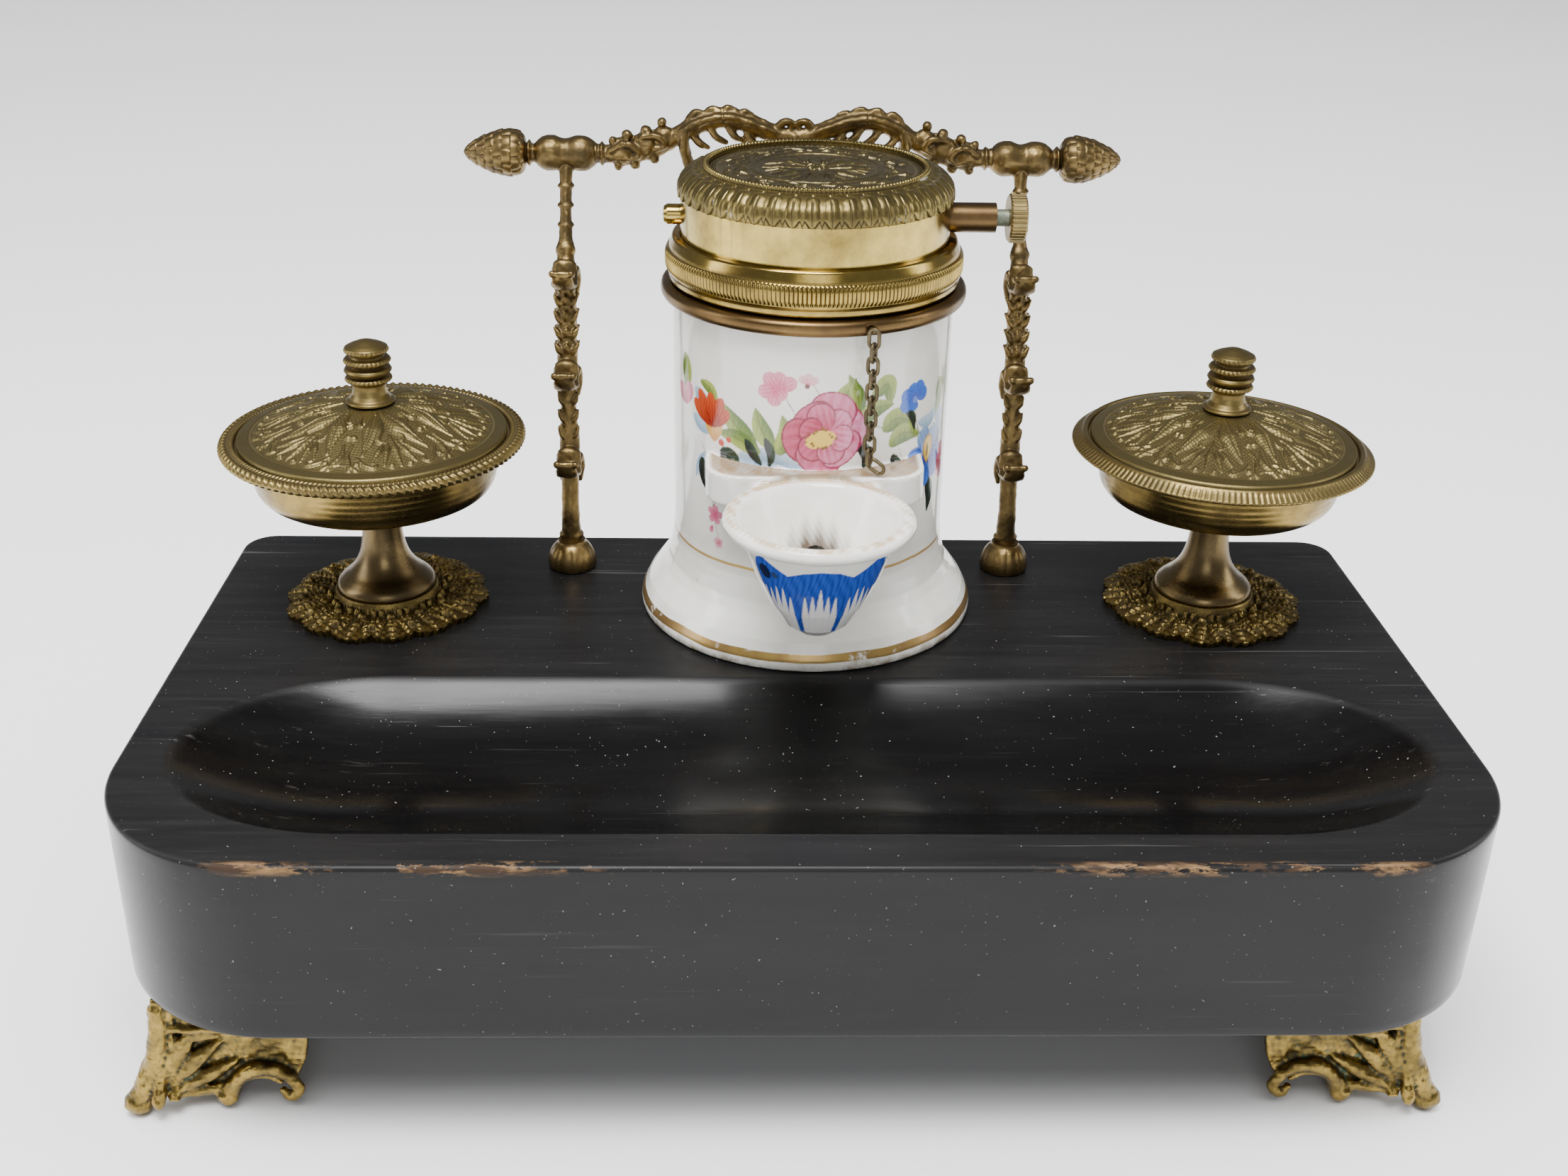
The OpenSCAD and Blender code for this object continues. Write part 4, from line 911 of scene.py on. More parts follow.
class Canvas:
    """Paints soft-edged strokes on points (s along the wall, t up), newest on top."""

    def __init__(self, s, t):
        self.s, self.t = s, t
        self.colour = np.ones((len(s), 3))
        self.cover = np.zeros(len(s))
        self.soft = 0.16
        turn = np.random.default_rng(3).uniform(0, TAU, 12)
        self.grain = sum(np.sin(s * (2.1 + k) + t * (1.3 - k * 0.7) + turn[k]) for k in range(6)) / 6

    def lay(self, where, distance, colour, strength=1.0):
        """Covers points whose distance inside the shape is above zero."""
        a = np.clip(distance / self.soft + 0.5, 0, 1) * strength
        old, cover = self.colour[where], self.cover[where]
        total = a + cover * (1 - a)
        mixed = np.asarray(colour) * a[:, None] + old * (cover * (1 - a))[:, None]
        mixed = mixed / np.maximum(total, 1e-6)[:, None]
        self.colour[where] = np.where(total[:, None] > 1e-6, mixed, old)
        self.cover[where] = total

    def near(self, centre, reach):
        return np.where((np.abs(self.s - centre[0]) < reach) & (np.abs(self.t - centre[1]) < reach))[0]

    def dot(self, centre, radius, colour, squash=1.0):
        where = self.near(centre, radius * 1.5 + 0.5)
        if len(where):
            d = radius - np.hypot(self.s[where] - centre[0], (self.t[where] - centre[1]) / squash)
            self.lay(where, d, colour)

    def petal(self, base, angle, length, width, dark, light, veins=0.25):
        """A petal from its base: dark at the base, light at the rim, with fine brush streaks."""
        c, sn = math.cos(angle), math.sin(angle)
        middle_point = (base[0] + c * length / 2, base[1] + sn * length / 2)
        where = self.near(middle_point, max(length, width) * 0.75)
        if not len(where):
            return
        x = (self.s[where] - base[0]) * c + (self.t[where] - base[1]) * sn
        y = -(self.s[where] - base[0]) * sn + (self.t[where] - base[1]) * c
        share = np.clip(x / length, 0, 1)
        widest = 0.6
        outer = np.sqrt(np.clip(1 - ((share - widest) / (1 - widest)) ** 2, 0, 1))
        half = width / 2 * np.where(share > widest, outer, np.sin(math.pi / 2 * share / widest) ** 0.8)
        inside = np.minimum(half - np.abs(y), np.minimum(x, length - x) * 2 + 0.1)
        streak = np.cos(y / width * 26) * 0.5 + 0.5
        tone = np.clip(share + veins * (streak - 0.5) + self.grain[where] * 0.25, 0, 1)[:, None]
        self.lay(where, inside, np.asarray(dark) * (1 - tone) + np.asarray(light) * tone)

    def leaf(self, points, width, dark, light, vein=None):
        """A pointed leaf along a curve, light on one side of its vein and dark on the other."""
        path = curve(points, 0.35)
        middle_point = path.mean(0)
        reach = np.abs(path - middle_point).max() + width
        where = self.near(middle_point, reach)
        if not len(where):
            return
        q = np.stack([self.s[where], self.t[where]], 1)
        gap = np.linalg.norm(q[:, None] - path[None], axis=2)
        k = gap.argmin(1)
        share = k / (len(path) - 1)
        t = np.gradient(path, axis=0)
        t /= np.linalg.norm(t, axis=1)[:, None]
        d = q - path[k]
        cross = t[k, 0] * d[:, 1] - t[k, 1] * d[:, 0]
        half = width / 2 * np.sin(math.pi * np.clip(share, 0, 1) ** 0.8) ** 0.8
        tone = np.clip(0.5 + cross / max(width, 0.1) * 1.6 + self.grain[where] * 0.3, 0, 1)[:, None]
        self.lay(where, half - gap.min(1), np.asarray(dark) * (1 - tone) + np.asarray(light) * tone)
        if vein is not None:
            self.stroke(points, 0.16, vein, 0.7)

    def stroke(self, points, width, colour, strength=1.0):
        path = curve(points, 0.3)
        middle_point = path.mean(0)
        where = self.near(middle_point, np.abs(path - middle_point).max() + width)
        if not len(where):
            return
        q = np.stack([self.s[where], self.t[where]], 1)
        gap = np.linalg.norm(q[:, None] - path[None], axis=2)
        share = gap.argmin(1) / (len(path) - 1)
        self.lay(where, width * (0.55 + 0.45 * np.sin(math.pi * share)) - gap.min(1), colour, strength)


PINK, DEEP_PINK, PALE_PINK = (0.58, 0.07, 0.16), (0.34, 0.018, 0.06), (0.72, 0.28, 0.38)
GREEN, DARK_GREEN, LIME = (0.10, 0.17, 0.03), (0.02, 0.04, 0.02), (0.33, 0.40, 0.09)
BLUE, DEEP_BLUE, SKY = (0.03, 0.10, 0.52), (0.008, 0.025, 0.22), (0.27, 0.40, 0.54)
YELLOW, OCHRE, RED, BROWN = (0.75, 0.50, 0.08), (0.35, 0.18, 0.03), (0.55, 0.035, 0.02), (0.07, 0.035, 0.02)
BLACK = (0.012, 0.014, 0.014)


def flower(canvas, s, t, radius, petals):
    """Open rose: broad petals from crimson at the left to lilac pink at the right, round a yellow eye."""
    crimson = (0.16, 0.006, 0.03)
    for turn, share, width in ((0.25, 1.0, 6.6), (0.8, 0.74, 5.2)):
        for i in range(petals):
            a = turn + TAU * i / petals
            side = 0.5 - 0.5 * math.cos(a)
            dark = np.array(PINK) * (1 - side) + np.array(DEEP_PINK) * side
            light = np.array((0.66, 0.24, 0.40)) * (1 - side) + np.array((0.50, 0.075, 0.15)) * side
            reach = radius * share * (1.0 + 0.12 * math.sin(i * 2.3))
            wide = radius * share * width / petals
            canvas.petal((s, t), a, reach + 0.35, wide + 0.8, crimson, tuple(dark * 0.6), 0.2)
            canvas.petal((s, t), a, reach, wide, tuple(dark), tuple(light), 0.55)
            for k in (-0.2, -0.07, 0.08, 0.21):
                canvas.stroke([(s + math.cos(a + k) * reach * q, t + math.sin(a + k) * reach * q)
                               for q in (0.4, 0.58, 0.74)], 0.12, crimson, 0.55)
    eye = (s - radius * 0.12, t - radius * 0.12)
    for ds, dt, r in ((0.0, 0.0, 0.30), (-0.17, -0.08, 0.22), (0.16, 0.07, 0.20)):
        canvas.dot((eye[0] + ds * radius, eye[1] + dt * radius), radius * r, YELLOW, 0.75)
    flecks = np.random.default_rng(5)
    for i in range(17):
        a, r = TAU * i / 17 + flecks.uniform(-0.12, 0.12), radius * flecks.uniform(0.27, 0.40)
        canvas.dot((eye[0] + math.cos(a) * r, eye[1] + math.sin(a) * r * 0.72),
                   radius * flecks.uniform(0.028, 0.05),
                   (0.20, 0.09, 0.015))


def garland(canvas, shift=0.0):
    """One spray of flowers, as on the well's front, at a distance round the wall."""
    def at(*points):
        return [(s + shift, t) for s, t in points]

    def here(s, t):
        return (s + shift, t)

    # stems first, so that leaves and flowers cover them
    for points in ([(-32, 52), (-26, 47), (-18, 50), (-10, 53), (-2, 55)], [(2, 60), (1, 66), (-2, 71)],
                   [(-9, 69), (-6, 64), (-3, 60)], [(8, 62), (16, 58), (22, 56), (30, 52)],
                   [(-30, 50), (-27, 40), (-26, 33), (-24.5, 27)], [(-29, 46), (-25.5, 38), (-27.5, 34)],
                   [(30, 52), (33, 44), (35, 36)], [(25.8, 62), (27, 56), (31, 50)],
                   [(9, 55), (12, 49), (14, 45)],
                   [(-19, 47), (-16, 43.5), (-12, 46)], [(21, 52), (24, 46), (29, 43)]):
        canvas.stroke(at(*points), 0.17, (0.10, 0.07, 0.035), 0.9)
    # blue-grey shadow leaves
    for points, width in (([(-33, 64), (-30, 61), (-26, 56.5)], 3.4),
                          ([(-34, 57), (-30, 55), (-24, 55)], 3.0),
                          ([(-20, 49), (-14, 50.5), (-8, 48)], 3.6),
                          ([(-15, 52), (-9, 51.5), (-3, 49)], 3.0),
                          ([(-23, 47.5), (-17, 46.5), (-12, 49)], 2.6),
                          ([(-27.5, 49), (-31, 45), (-33, 41)], 2.4), ([(34, 60), (37, 56), (39, 50)], 3.2),
                          ([(27, 57), (32, 56.5), (36, 60)], 2.8)):
        canvas.leaf(at(*points), width * 1.25, SKY, (0.46, 0.58, 0.68))
    # green leaves
    for points, width in (([(-14, 53), (-20, 58), (-23.5, 62.5)], 3.8),
                          ([(-13, 52), (-19, 54.5), (-25, 55)], 3.2),
                          ([(-10, 53), (-13, 58), (-14.5, 63)], 3.4), ([(-9, 52), (-7, 57), (-8, 62)], 3.2),
                          ([(3, 62), (6, 66.5), (9, 71)], 3.2), ([(9, 61), (9.5, 66), (7, 72)], 2.8),
                          ([(13, 66), (17, 68.5), (18, 63)], 3.4), ([(10, 60), (14, 63), (19, 63.5)], 3.2),
                          ([(16, 57), (20, 59.5), (26, 57.5)], 4.0),
                          ([(18, 53), (22, 55.5), (28, 54)], 3.6), ([(-38, 71), (-37, 66), (-38, 61)], 3.4),
                          ([(36, 66), (37, 62), (35, 57)], 3.4),
                          ([(-31, 66), (-27, 64.5), (-25, 60)], 2.2)):
        canvas.leaf(at(*points), width * 1.4, GREEN, LIME, (0.07, 0.09, 0.02))
    # near-black leaves and berries
    for points, width in (([(-17, 55), (-14.5, 51), (-12.5, 49)], 2.0),
                          ([(-12, 56), (-10.5, 52), (-11, 48.5)], 1.8),
                          ([(-24, 51), (-20.5, 48.5), (-19.5, 45)], 3.8),
                          ([(-30.5, 47), (-29, 42), (-27.5, 38)], 3.4),
                          ([(-27, 47), (-24.5, 42), (-25, 37.5)], 3.0),
                          ([(9.5, 56), (12, 52), (11, 48.5)], 2.4), ([(19, 51), (21, 47), (24, 45)], 2.6),
                          ([(32, 42), (34, 37), (33.2, 32)], 3.0), ([(22, 62), (25, 59), (26, 55)], 1.7),
                          ([(34, 55), (37, 50), (36.5, 44)], 2.2),
                          ([(4, 47.5), (2, 46), (3.5, 44.5)], 1.4)):
        canvas.leaf(at(*points), width * 1.3, BLACK, DARK_GREEN)
    canvas.dot(here(-23.8, 52.4), 0.9, RED)
    canvas.dot(here(-21.6, 53.6), 0.7, RED)
    # orange cup and red tulip
    canvas.petal(here(-26, 52), 1.75, 7.0, 4.6, (0.55, 0.22, 0.03), (0.75, 0.48, 0.09))
    canvas.petal(here(-26, 52), 1.3, 6.0, 3.0, (0.55, 0.20, 0.03), (0.78, 0.55, 0.16))
    for a, length in ((0.75, 7.4), (1.15, 8.6), (1.6, 8.4), (2.05, 9.4), (2.45, 8.4)):
        canvas.petal(here(-27.0, 55.5), a, length, 3.4, (0.22, 0.012, 0.008), (0.56, 0.075, 0.02), 0.6)
    # pink flowers and buds
    for a, length in ((0.5, 5.2), (1.35, 4.4), (2.2, 4.6), (3.4, 4.6), (4.5, 4.2), (5.4, 3.0)):
        canvas.petal(here(-9.4, 68.0), a, length, 3.6, PINK, PALE_PINK, 0.5)
    for a in (0.6, 1.5, 2.4):
        canvas.petal(here(-2.2, 69.6), a, 2.8, 2.0, PALE_PINK, (0.76, 0.50, 0.52))
    canvas.dot(here(-2.4, 69.2), 0.6, (0.16, 0.04, 0.04))
    canvas.petal(here(-37.5, 58), 1.2, 6.5, 4.0, PINK, PALE_PINK)
    canvas.petal(here(-37.5, 58), 2.2, 6.0, 4.0, DEEP_PINK, PALE_PINK)
    for a in (0.2, 1.4, 2.6, 4.0, 5.2):
        canvas.petal(here(-25.8, 33.4), a, 2.6, 1.9, PINK, PALE_PINK, 0.4)
        canvas.petal(here(-24.6, 26.4), a + 0.4, 1.8, 1.3, PINK, (0.85, 0.62, 0.62), 0.4)
    canvas.petal(here(-26.5, 30.5), 4.4, 2.2, 1.4, PINK, PALE_PINK)
    flower(canvas, 2.2 + shift, 57.6, 9.4, 6)
    # blue flowers
    for a, length in ((0.25, 4.6), (1.0, 4.6), (1.9, 4.0), (2.8, 4.8), (3.5, 5.0), (4.4, 3.0)):
        canvas.petal(here(25.6, 63.4), a, length, 3.8, (0.02, 0.07, 0.42), (0.05, 0.16, 0.62), 0.5)
    canvas.dot(here(25.6, 63.0), 0.8, (0.09, 0.2, 0.6))
    for a in (3.0, 3.8, 4.6, 5.4, 6.1):
        canvas.petal(here(31.7, 47.5), a, 8.0, 5.2, DEEP_BLUE, (0.06, 0.16, 0.62), 0.4)
    for a in (0.9, 2.0):
        canvas.petal(here(31.7, 48.5), a, 7.0, 5.4, BLUE, SKY, 0.4)
    canvas.petal(here(31.7, 45.4), 1.5, 7.4, 4.6, OCHRE, OCHRE, 0.2)
    canvas.petal(here(31.7, 46), 1.5, 6.2, 3.4, YELLOW, YELLOW, 0.2)
    canvas.stroke(at((31.5, 47.2), (31.8, 48.8), (31.7, 50.4)), 0.4, (0.16, 0.09, 0.015))
    canvas.petal(here(37.5, 44), 0.6, 6.0, 4.6, PINK, PALE_PINK)
    canvas.petal(here(37.5, 44), 5.4, 6.0, 4.6, DEEP_PINK, PALE_PINK)


DRAPE_TOP = [(-63, 37.5), (-58, 41.0), (-50, 42.4), (-40, 40.8), (-27, 38.8), (-14, 40.2), (0, 40.8),
             (14, 40.4), (26, 38.8), (38, 40.6), (49, 42.4), (58, 41.2), (63, 37.5)]


def lambrequin(canvas, bend, cup_r):
    """Blue drapery on the cup's front, with three fans of white spikes that rise from its tip."""
    arc = np.degrees(bend)
    degree = np.maximum(cup_r, 2.0) * math.pi / 180
    points = np.arange(len(arc))
    top = np.interp(arc, *zip(*DRAPE_TOP))
    side = (np.interp(canvas.t, [19, 36], [50, 61]) - np.abs(arc)) * degree
    tone = np.clip(0.5 + canvas.grain * 1.4, 0, 1)[:, None]
    blue = np.array(DEEP_BLUE) * (1 - tone) * 0.6 + np.array(BLUE) * (0.4 + 0.6 * tone)
    canvas.lay(points, np.minimum(np.minimum(top - canvas.t, side), canvas.t - 19.2), blue)
    for k in range(-8, 9):
        if abs(k) == 3:
            continue
        spread = np.interp(canvas.t, [19, 34], [1.35, 1.0])
        near_middle = 1 - abs(abs(k) - (0 if abs(k) < 3 else 6)) / 2.6
        tip = 33.0 + 2.2 * near_middle + 0.7 * math.cos(k * 2.4)
        half = 3.6 * np.clip((tip - canvas.t) / 7.0, 0, 1) ** 0.75 * spread
        spike = np.minimum((half - np.abs(arc - k * 6.9 * spread)) * degree, side - 0.3)
        canvas.lay(points, np.where(canvas.t < tip, spike, -1.0), (0.80, 0.79, 0.77))
    canvas.lay(points, 1.9 - np.hypot((arc + 50) * degree * 1.1, canvas.t - 38.2), (0.006, 0.012, 0.05))
    canvas.lay(points, 0.9 - np.hypot((arc + 40) * degree, canvas.t - 38.0), (0.03, 0.05, 0.06), 0.8)


def paint(mesh):
    """Writes flowers, stains and the painted shade inside the cup into the mesh's colour layer; its fourth
    number is how much they cover.
    """
    co = np.zeros(len(mesh.vertices) * 3, np.float32)
    mesh.vertices.foreach_get("co", co)
    x, y, z = co.reshape(-1, 3).astype(float).T
    radius = np.hypot(x, y)
    around = np.arctan2(x, -y)
    on_wall = (radius > WELL_R - 0.5) & (radius < WELL_R + 1.4) & (z > 20) & (z < 80)
    colour = np.ones((len(x), 4))
    colour[:, 3] = 0
    wall = np.where(on_wall)[0]
    canvas = Canvas(around[wall] * WELL_R, z[wall])
    half_turn = math.pi * WELL_R
    for shift in (0.0, half_turn, -half_turn):  # the front, and both edges of the back
        garland(canvas, shift)
    colour[wall, :3], colour[wall, 3] = canvas.colour, canvas.cover
    cup_r = np.hypot(x, y + CUP_REACH)
    outside = np.interp(z, [p[1] for p in CUP_OUT[:8]], [p[0] for p in CUP_OUT[:8]])
    cup = np.where((cup_r > outside - 0.9) & (z > 17.5) & (z < 43) & (y < -CUP_REACH + 2))[0]
    bend = np.arctan2(x[cup], -(y[cup] + CUP_REACH))
    canvas = Canvas(bend * np.maximum(cup_r[cup], 6.5), z[cup])
    lambrequin(canvas, bend, cup_r[cup])
    colour[cup, :3], colour[cup, 3] = canvas.colour, canvas.cover
    # Painted shade inside the cup: darker brown towards the port at its back.
    inside = np.where((cup_r < 16.5) & (z > 26) & (z < 46) & ~((cup_r > outside - 1.2) & (z < 43)))[0]
    before_port = np.maximum(0, (-CUP_REACH + 8) - y[inside])
    from_port = np.hypot(np.hypot(x[inside], z[inside] - 30.5), before_port * 0.8)
    wave = np.sin(x[inside] * 1.9) * 0.8 + np.sin(x[inside] * 4.7 + z[inside] * 3) * 0.45
    stain_and_painted_shade = np.clip((10.5 + wave - from_port) / 6.0, 0, 1) ** 1.3
    colour[inside, :3] = (0.075, 0.045, 0.025)
    colour[inside, 3] = stain_and_painted_shade * 0.95
    cloud = 0.5 + 0.22 * np.sin(x * 0.55 + 1) + 0.18 * np.sin(x * 1.3 + y * 0.9)
    cloud = cloud + 0.14 * np.sin(x * 3.1 - y * 2.3)
    shelf = np.where((z > 47.9) & (z < 49.2) & (radius > WELL_R + 0.4) & (y < 0))[0]
    past = np.maximum(np.abs(x[shelf]) - 17.0, 0), np.maximum(-y[shelf] - 29.7, 0)
    edge = np.minimum(8.2 - np.hypot(*past), np.minimum(25.2 - np.abs(x[shelf]), y[shelf] + 38.0))
    colour[shelf, :3] = np.array((0.19, 0.115, 0.055)) + cloud[shelf, None] * (0.13, 0.095, 0.06)
    colour[shelf, 3] = np.clip(edge / 0.9 - 0.4, 0, 1) * np.clip(0.75 + cloud[shelf] * 0.3, 0, 1)
    lip = np.where((cup_r > 18.2) & (cup_r < 21.4) & (z > 46.5) & (z < 47.9) & (radius > WELL_R + 0.4))[0]
    back = np.clip((y[lip] + CUP_REACH) / 18, 0, 1)
    colour[lip, :3] = np.array((0.38, 0.26, 0.14)) + cloud[lip, None] * (0.16, 0.14, 0.11)
    worn = np.clip((z[lip] - 46.5) / 0.5, 0, 1) * np.clip((21.2 - cup_r[lip]) / 0.6, 0, 1)
    colour[lip, 3] = worn * np.clip(cloud[lip] * 1.5 - 0.28 + back * 0.6, 0, 0.95)
    layer = mesh.color_attributes.new("paint", "FLOAT_COLOR", "POINT")
    layer.data.foreach_set("color", colour.astype(np.float32).ravel())


# ------------------------------------------------------------------ pump head

def make_head():
    """Collar, knurled ring, leaf border and medallion."""
    axis = WELL
    profile = line(curve([(33.65, 81.3), (35.0, 81.25), (36.0, 81.6), (36.45, 82.4), (36.5, 83.3),
                          (36.3, 84.2), (35.6, 84.85), (34.4, 85.0)], 0.15), 0.15)
    profile = np.vstack([profile, line([(34.4, 85.0), (33.0, 85.0), (33.0, 91.3), (27.0, 91.3),
                                        (27.0, 85.0), (33.65, 85.0), (33.65, 81.3)], 0.4)])
    chain_turn = math.radians(-90 + 18.5)

    def nick(angle, along, r, z):
        """Notch where the chain's eye goes into the collar."""
        gap = np.abs((angle - chain_turn + math.pi) % TAU - math.pi) * 36
        return -0.9 * np.exp(-(gap / 0.9) ** 4) * np.exp(-((z - 82.9) / 1.2) ** 4) * (r > 35)

    turned_piece("neck_collar_turned", profile, axis, "collar", "neck_collar", 480, nick, sharp=40)

    ring = [(33.1, 85.4), (34.2, 85.35), (34.55, 85.7), (34.6, 87.0), (34.9, 87.5), (35.0, 88.1),
            (35.35, 88.5), (35.5, 89.2), (35.55, 90.4), (35.5, 91.5), (35.3, 92.3), (34.9, 92.8),
            (34.5, 93.0), (34.35, 93.7), (33.75, 95.3), (33.4, 95.7), (31.95, 95.7), (31.95, 93.5),
            (33.1, 93.4), (33.1, 85.4)]

    def knurls(angle, along, r, z):
        wear = 0.75 + 0.25 * np.sin(angle * 3 + 1) * np.sin(angle * 7)
        window = np.clip((z - 88.15) / 0.35, 0, 1) * np.clip((92.75 - z) / 0.35, 0, 1) * (r > 34.8)
        return window * (0.42 * np.abs(np.sin(angle * 110)) * wear - 0.36)

    turned_piece("knurled_union_ring", line(ring, 0.28), axis, "polished", "knurled_ring", 1760, knurls,
                 sharp=50)

    border = curve([(31.85, 104.7), (31.95, 105.4), (31.95, 106.6), (31.65, 107.9), (30.9, 109.0),
                    (29.7, 110.0), (28.4, 110.7), (27.2, 111.2), (26.6, 111.4)], 0.2)
    lip = line([(26.6, 111.4), (26.5, 111.9), (26.1, 112.2), (25.6, 112.2), (25.3, 111.9), (25.3, 108.2),
                (31.85, 108.2), (31.85, 104.7)], 0.3)
    reach = np.linalg.norm(np.diff(border, axis=0), axis=1).sum()

    leaf_count = 46

    def leaves(angle, along, r, z):
        share = along / reach
        pitch = TAU / leaf_count
        u = fold(angle, leaf_count) / pitch
        v = fold(angle + pitch / 2, leaf_count) / pitch
        half = 0.47 * np.sqrt(np.clip(share / 0.24, 0.0, 1)) * (1 - 0.12 * np.abs(np.sin(share * 15)))
        front = np.sqrt(np.clip(1 - (u / np.maximum(half, 0.02)) ** 2, 0,
                                1)) * np.clip((0.80 - share) / 0.08, 0, 1)
        front = (front * 0.62
                 - 0.2 * np.exp(-(u / 0.05) ** 2) * (front > 0) * np.clip((0.7 - share) * 8, 0, 1))
        half = 0.42 * np.clip((share - 0.05) / 0.5, 0, 1)
        behind = 0.34 * np.sqrt(np.clip(1 - (v / np.maximum(half, 0.02)) ** 2, 0,
                                        1)) * np.clip((0.96 - share) / 0.1, 0, 1)
        fringe = 0.3 * np.abs(np.cos(angle * leaf_count * 2)) * np.exp(-((share - 0.90) / 0.05) ** 2)
        beads = 0.28 * np.abs(np.cos(angle * 85)) * ((z > 111.6) & (along > reach))
        on_face = (along <= reach) & (z > 104.6)
        return np.where(on_face, np.maximum(np.maximum(front, behind), fringe), beads)

    turned_piece("leaf_border_cast", np.vstack([border, lip[1:]]), axis, "leaf", "leaf_border", 1840,
                 leaves, sharp=70)

    def face(x, y, angle, share):
        r = np.hypot(x, y)
        z = np.full_like(r, 110.9)
        z = z + bump_height(r - 15.1, 0.9, 0.55)
        z = z + bump_height(r - 23.9, 0.5, 0.4) * (0.6 + 0.4 * np.abs(np.cos(angle * 60)))
        a = fold(angle, 8)
        px, py = r * np.cos(a), np.abs(r * np.sin(a))
        inner = stroke_relief(px, py, [([(3.2, 0.0), (7.5, 0.0), (12.6, 0.0)], 0.7, 1.9, 0.3, 0.62),
                                       ([(5.5, 1.8), (8.6, 3.1), (11.9, 3.4)], 0.4, 0.8, 0.3, 0.5)])
        a = fold(angle + TAU / 24, 12)
        px, py = r * np.cos(a), r * np.sin(a)
        outer = stroke_relief(px, py, [([(17.4, -4.2), (19.2, -1.6), (20.6, 1.4), (20.0, 4.0)], 0.35, 0.45,
                                        0.3, 0.4),
                                       ([(19.0, -1.6), (21.4, -0.8), (22.6, 0.6)], 0.3, 1.0, 0.2, 0.5),
                                       ([(19.8, 0.2), (18.2, 1.6), (17.2, 3.2)], 0.3, 1.0, 0.2, 0.5),
                                       ([(18.0, -3.2), (17.0, -1.6), (17.4, 0.0)], 0.3, 0.7, 0.2, 0.45)])
        heart = 0.75 * np.sqrt(np.clip(1 - (r / 2.9) ** 2, 0,
                                       1)) - 0.15 * np.abs(np.cos(angle * 6)) * (r < 2.8) * (r > 1.2)
        return z + 1.7 * np.maximum(np.maximum(inner, outer),
                                    heart) + 0.04 * np.sin(x * 2.2) * np.sin(y * 2.6)

    steps, edge_r, under_z = 960, 25.15, 110.2
    points, faces = disc(lambda a: np.full_like(a, edge_r), 0.02, face, rings=120, steps=steps)
    points[points[:, 2] == 0, 2] = under_z
    faces.append(tuple(reversed(range(steps))))
    add_piece("medallion_relief", to_mesh("medallion", points + axis, faces), "medallion", "medallion")


# ------------------------------------------------------------------ lidded dishes

def make_dishes():
    for side, turn in (("left", 0.10), ("right", -0.12)):
        at = DISHES[side]
        lid_relief(side, at, turn)
        rim(side, at)
        bowl_and_stem(side, at)
        wreath(side, at)
        finial(side, at)


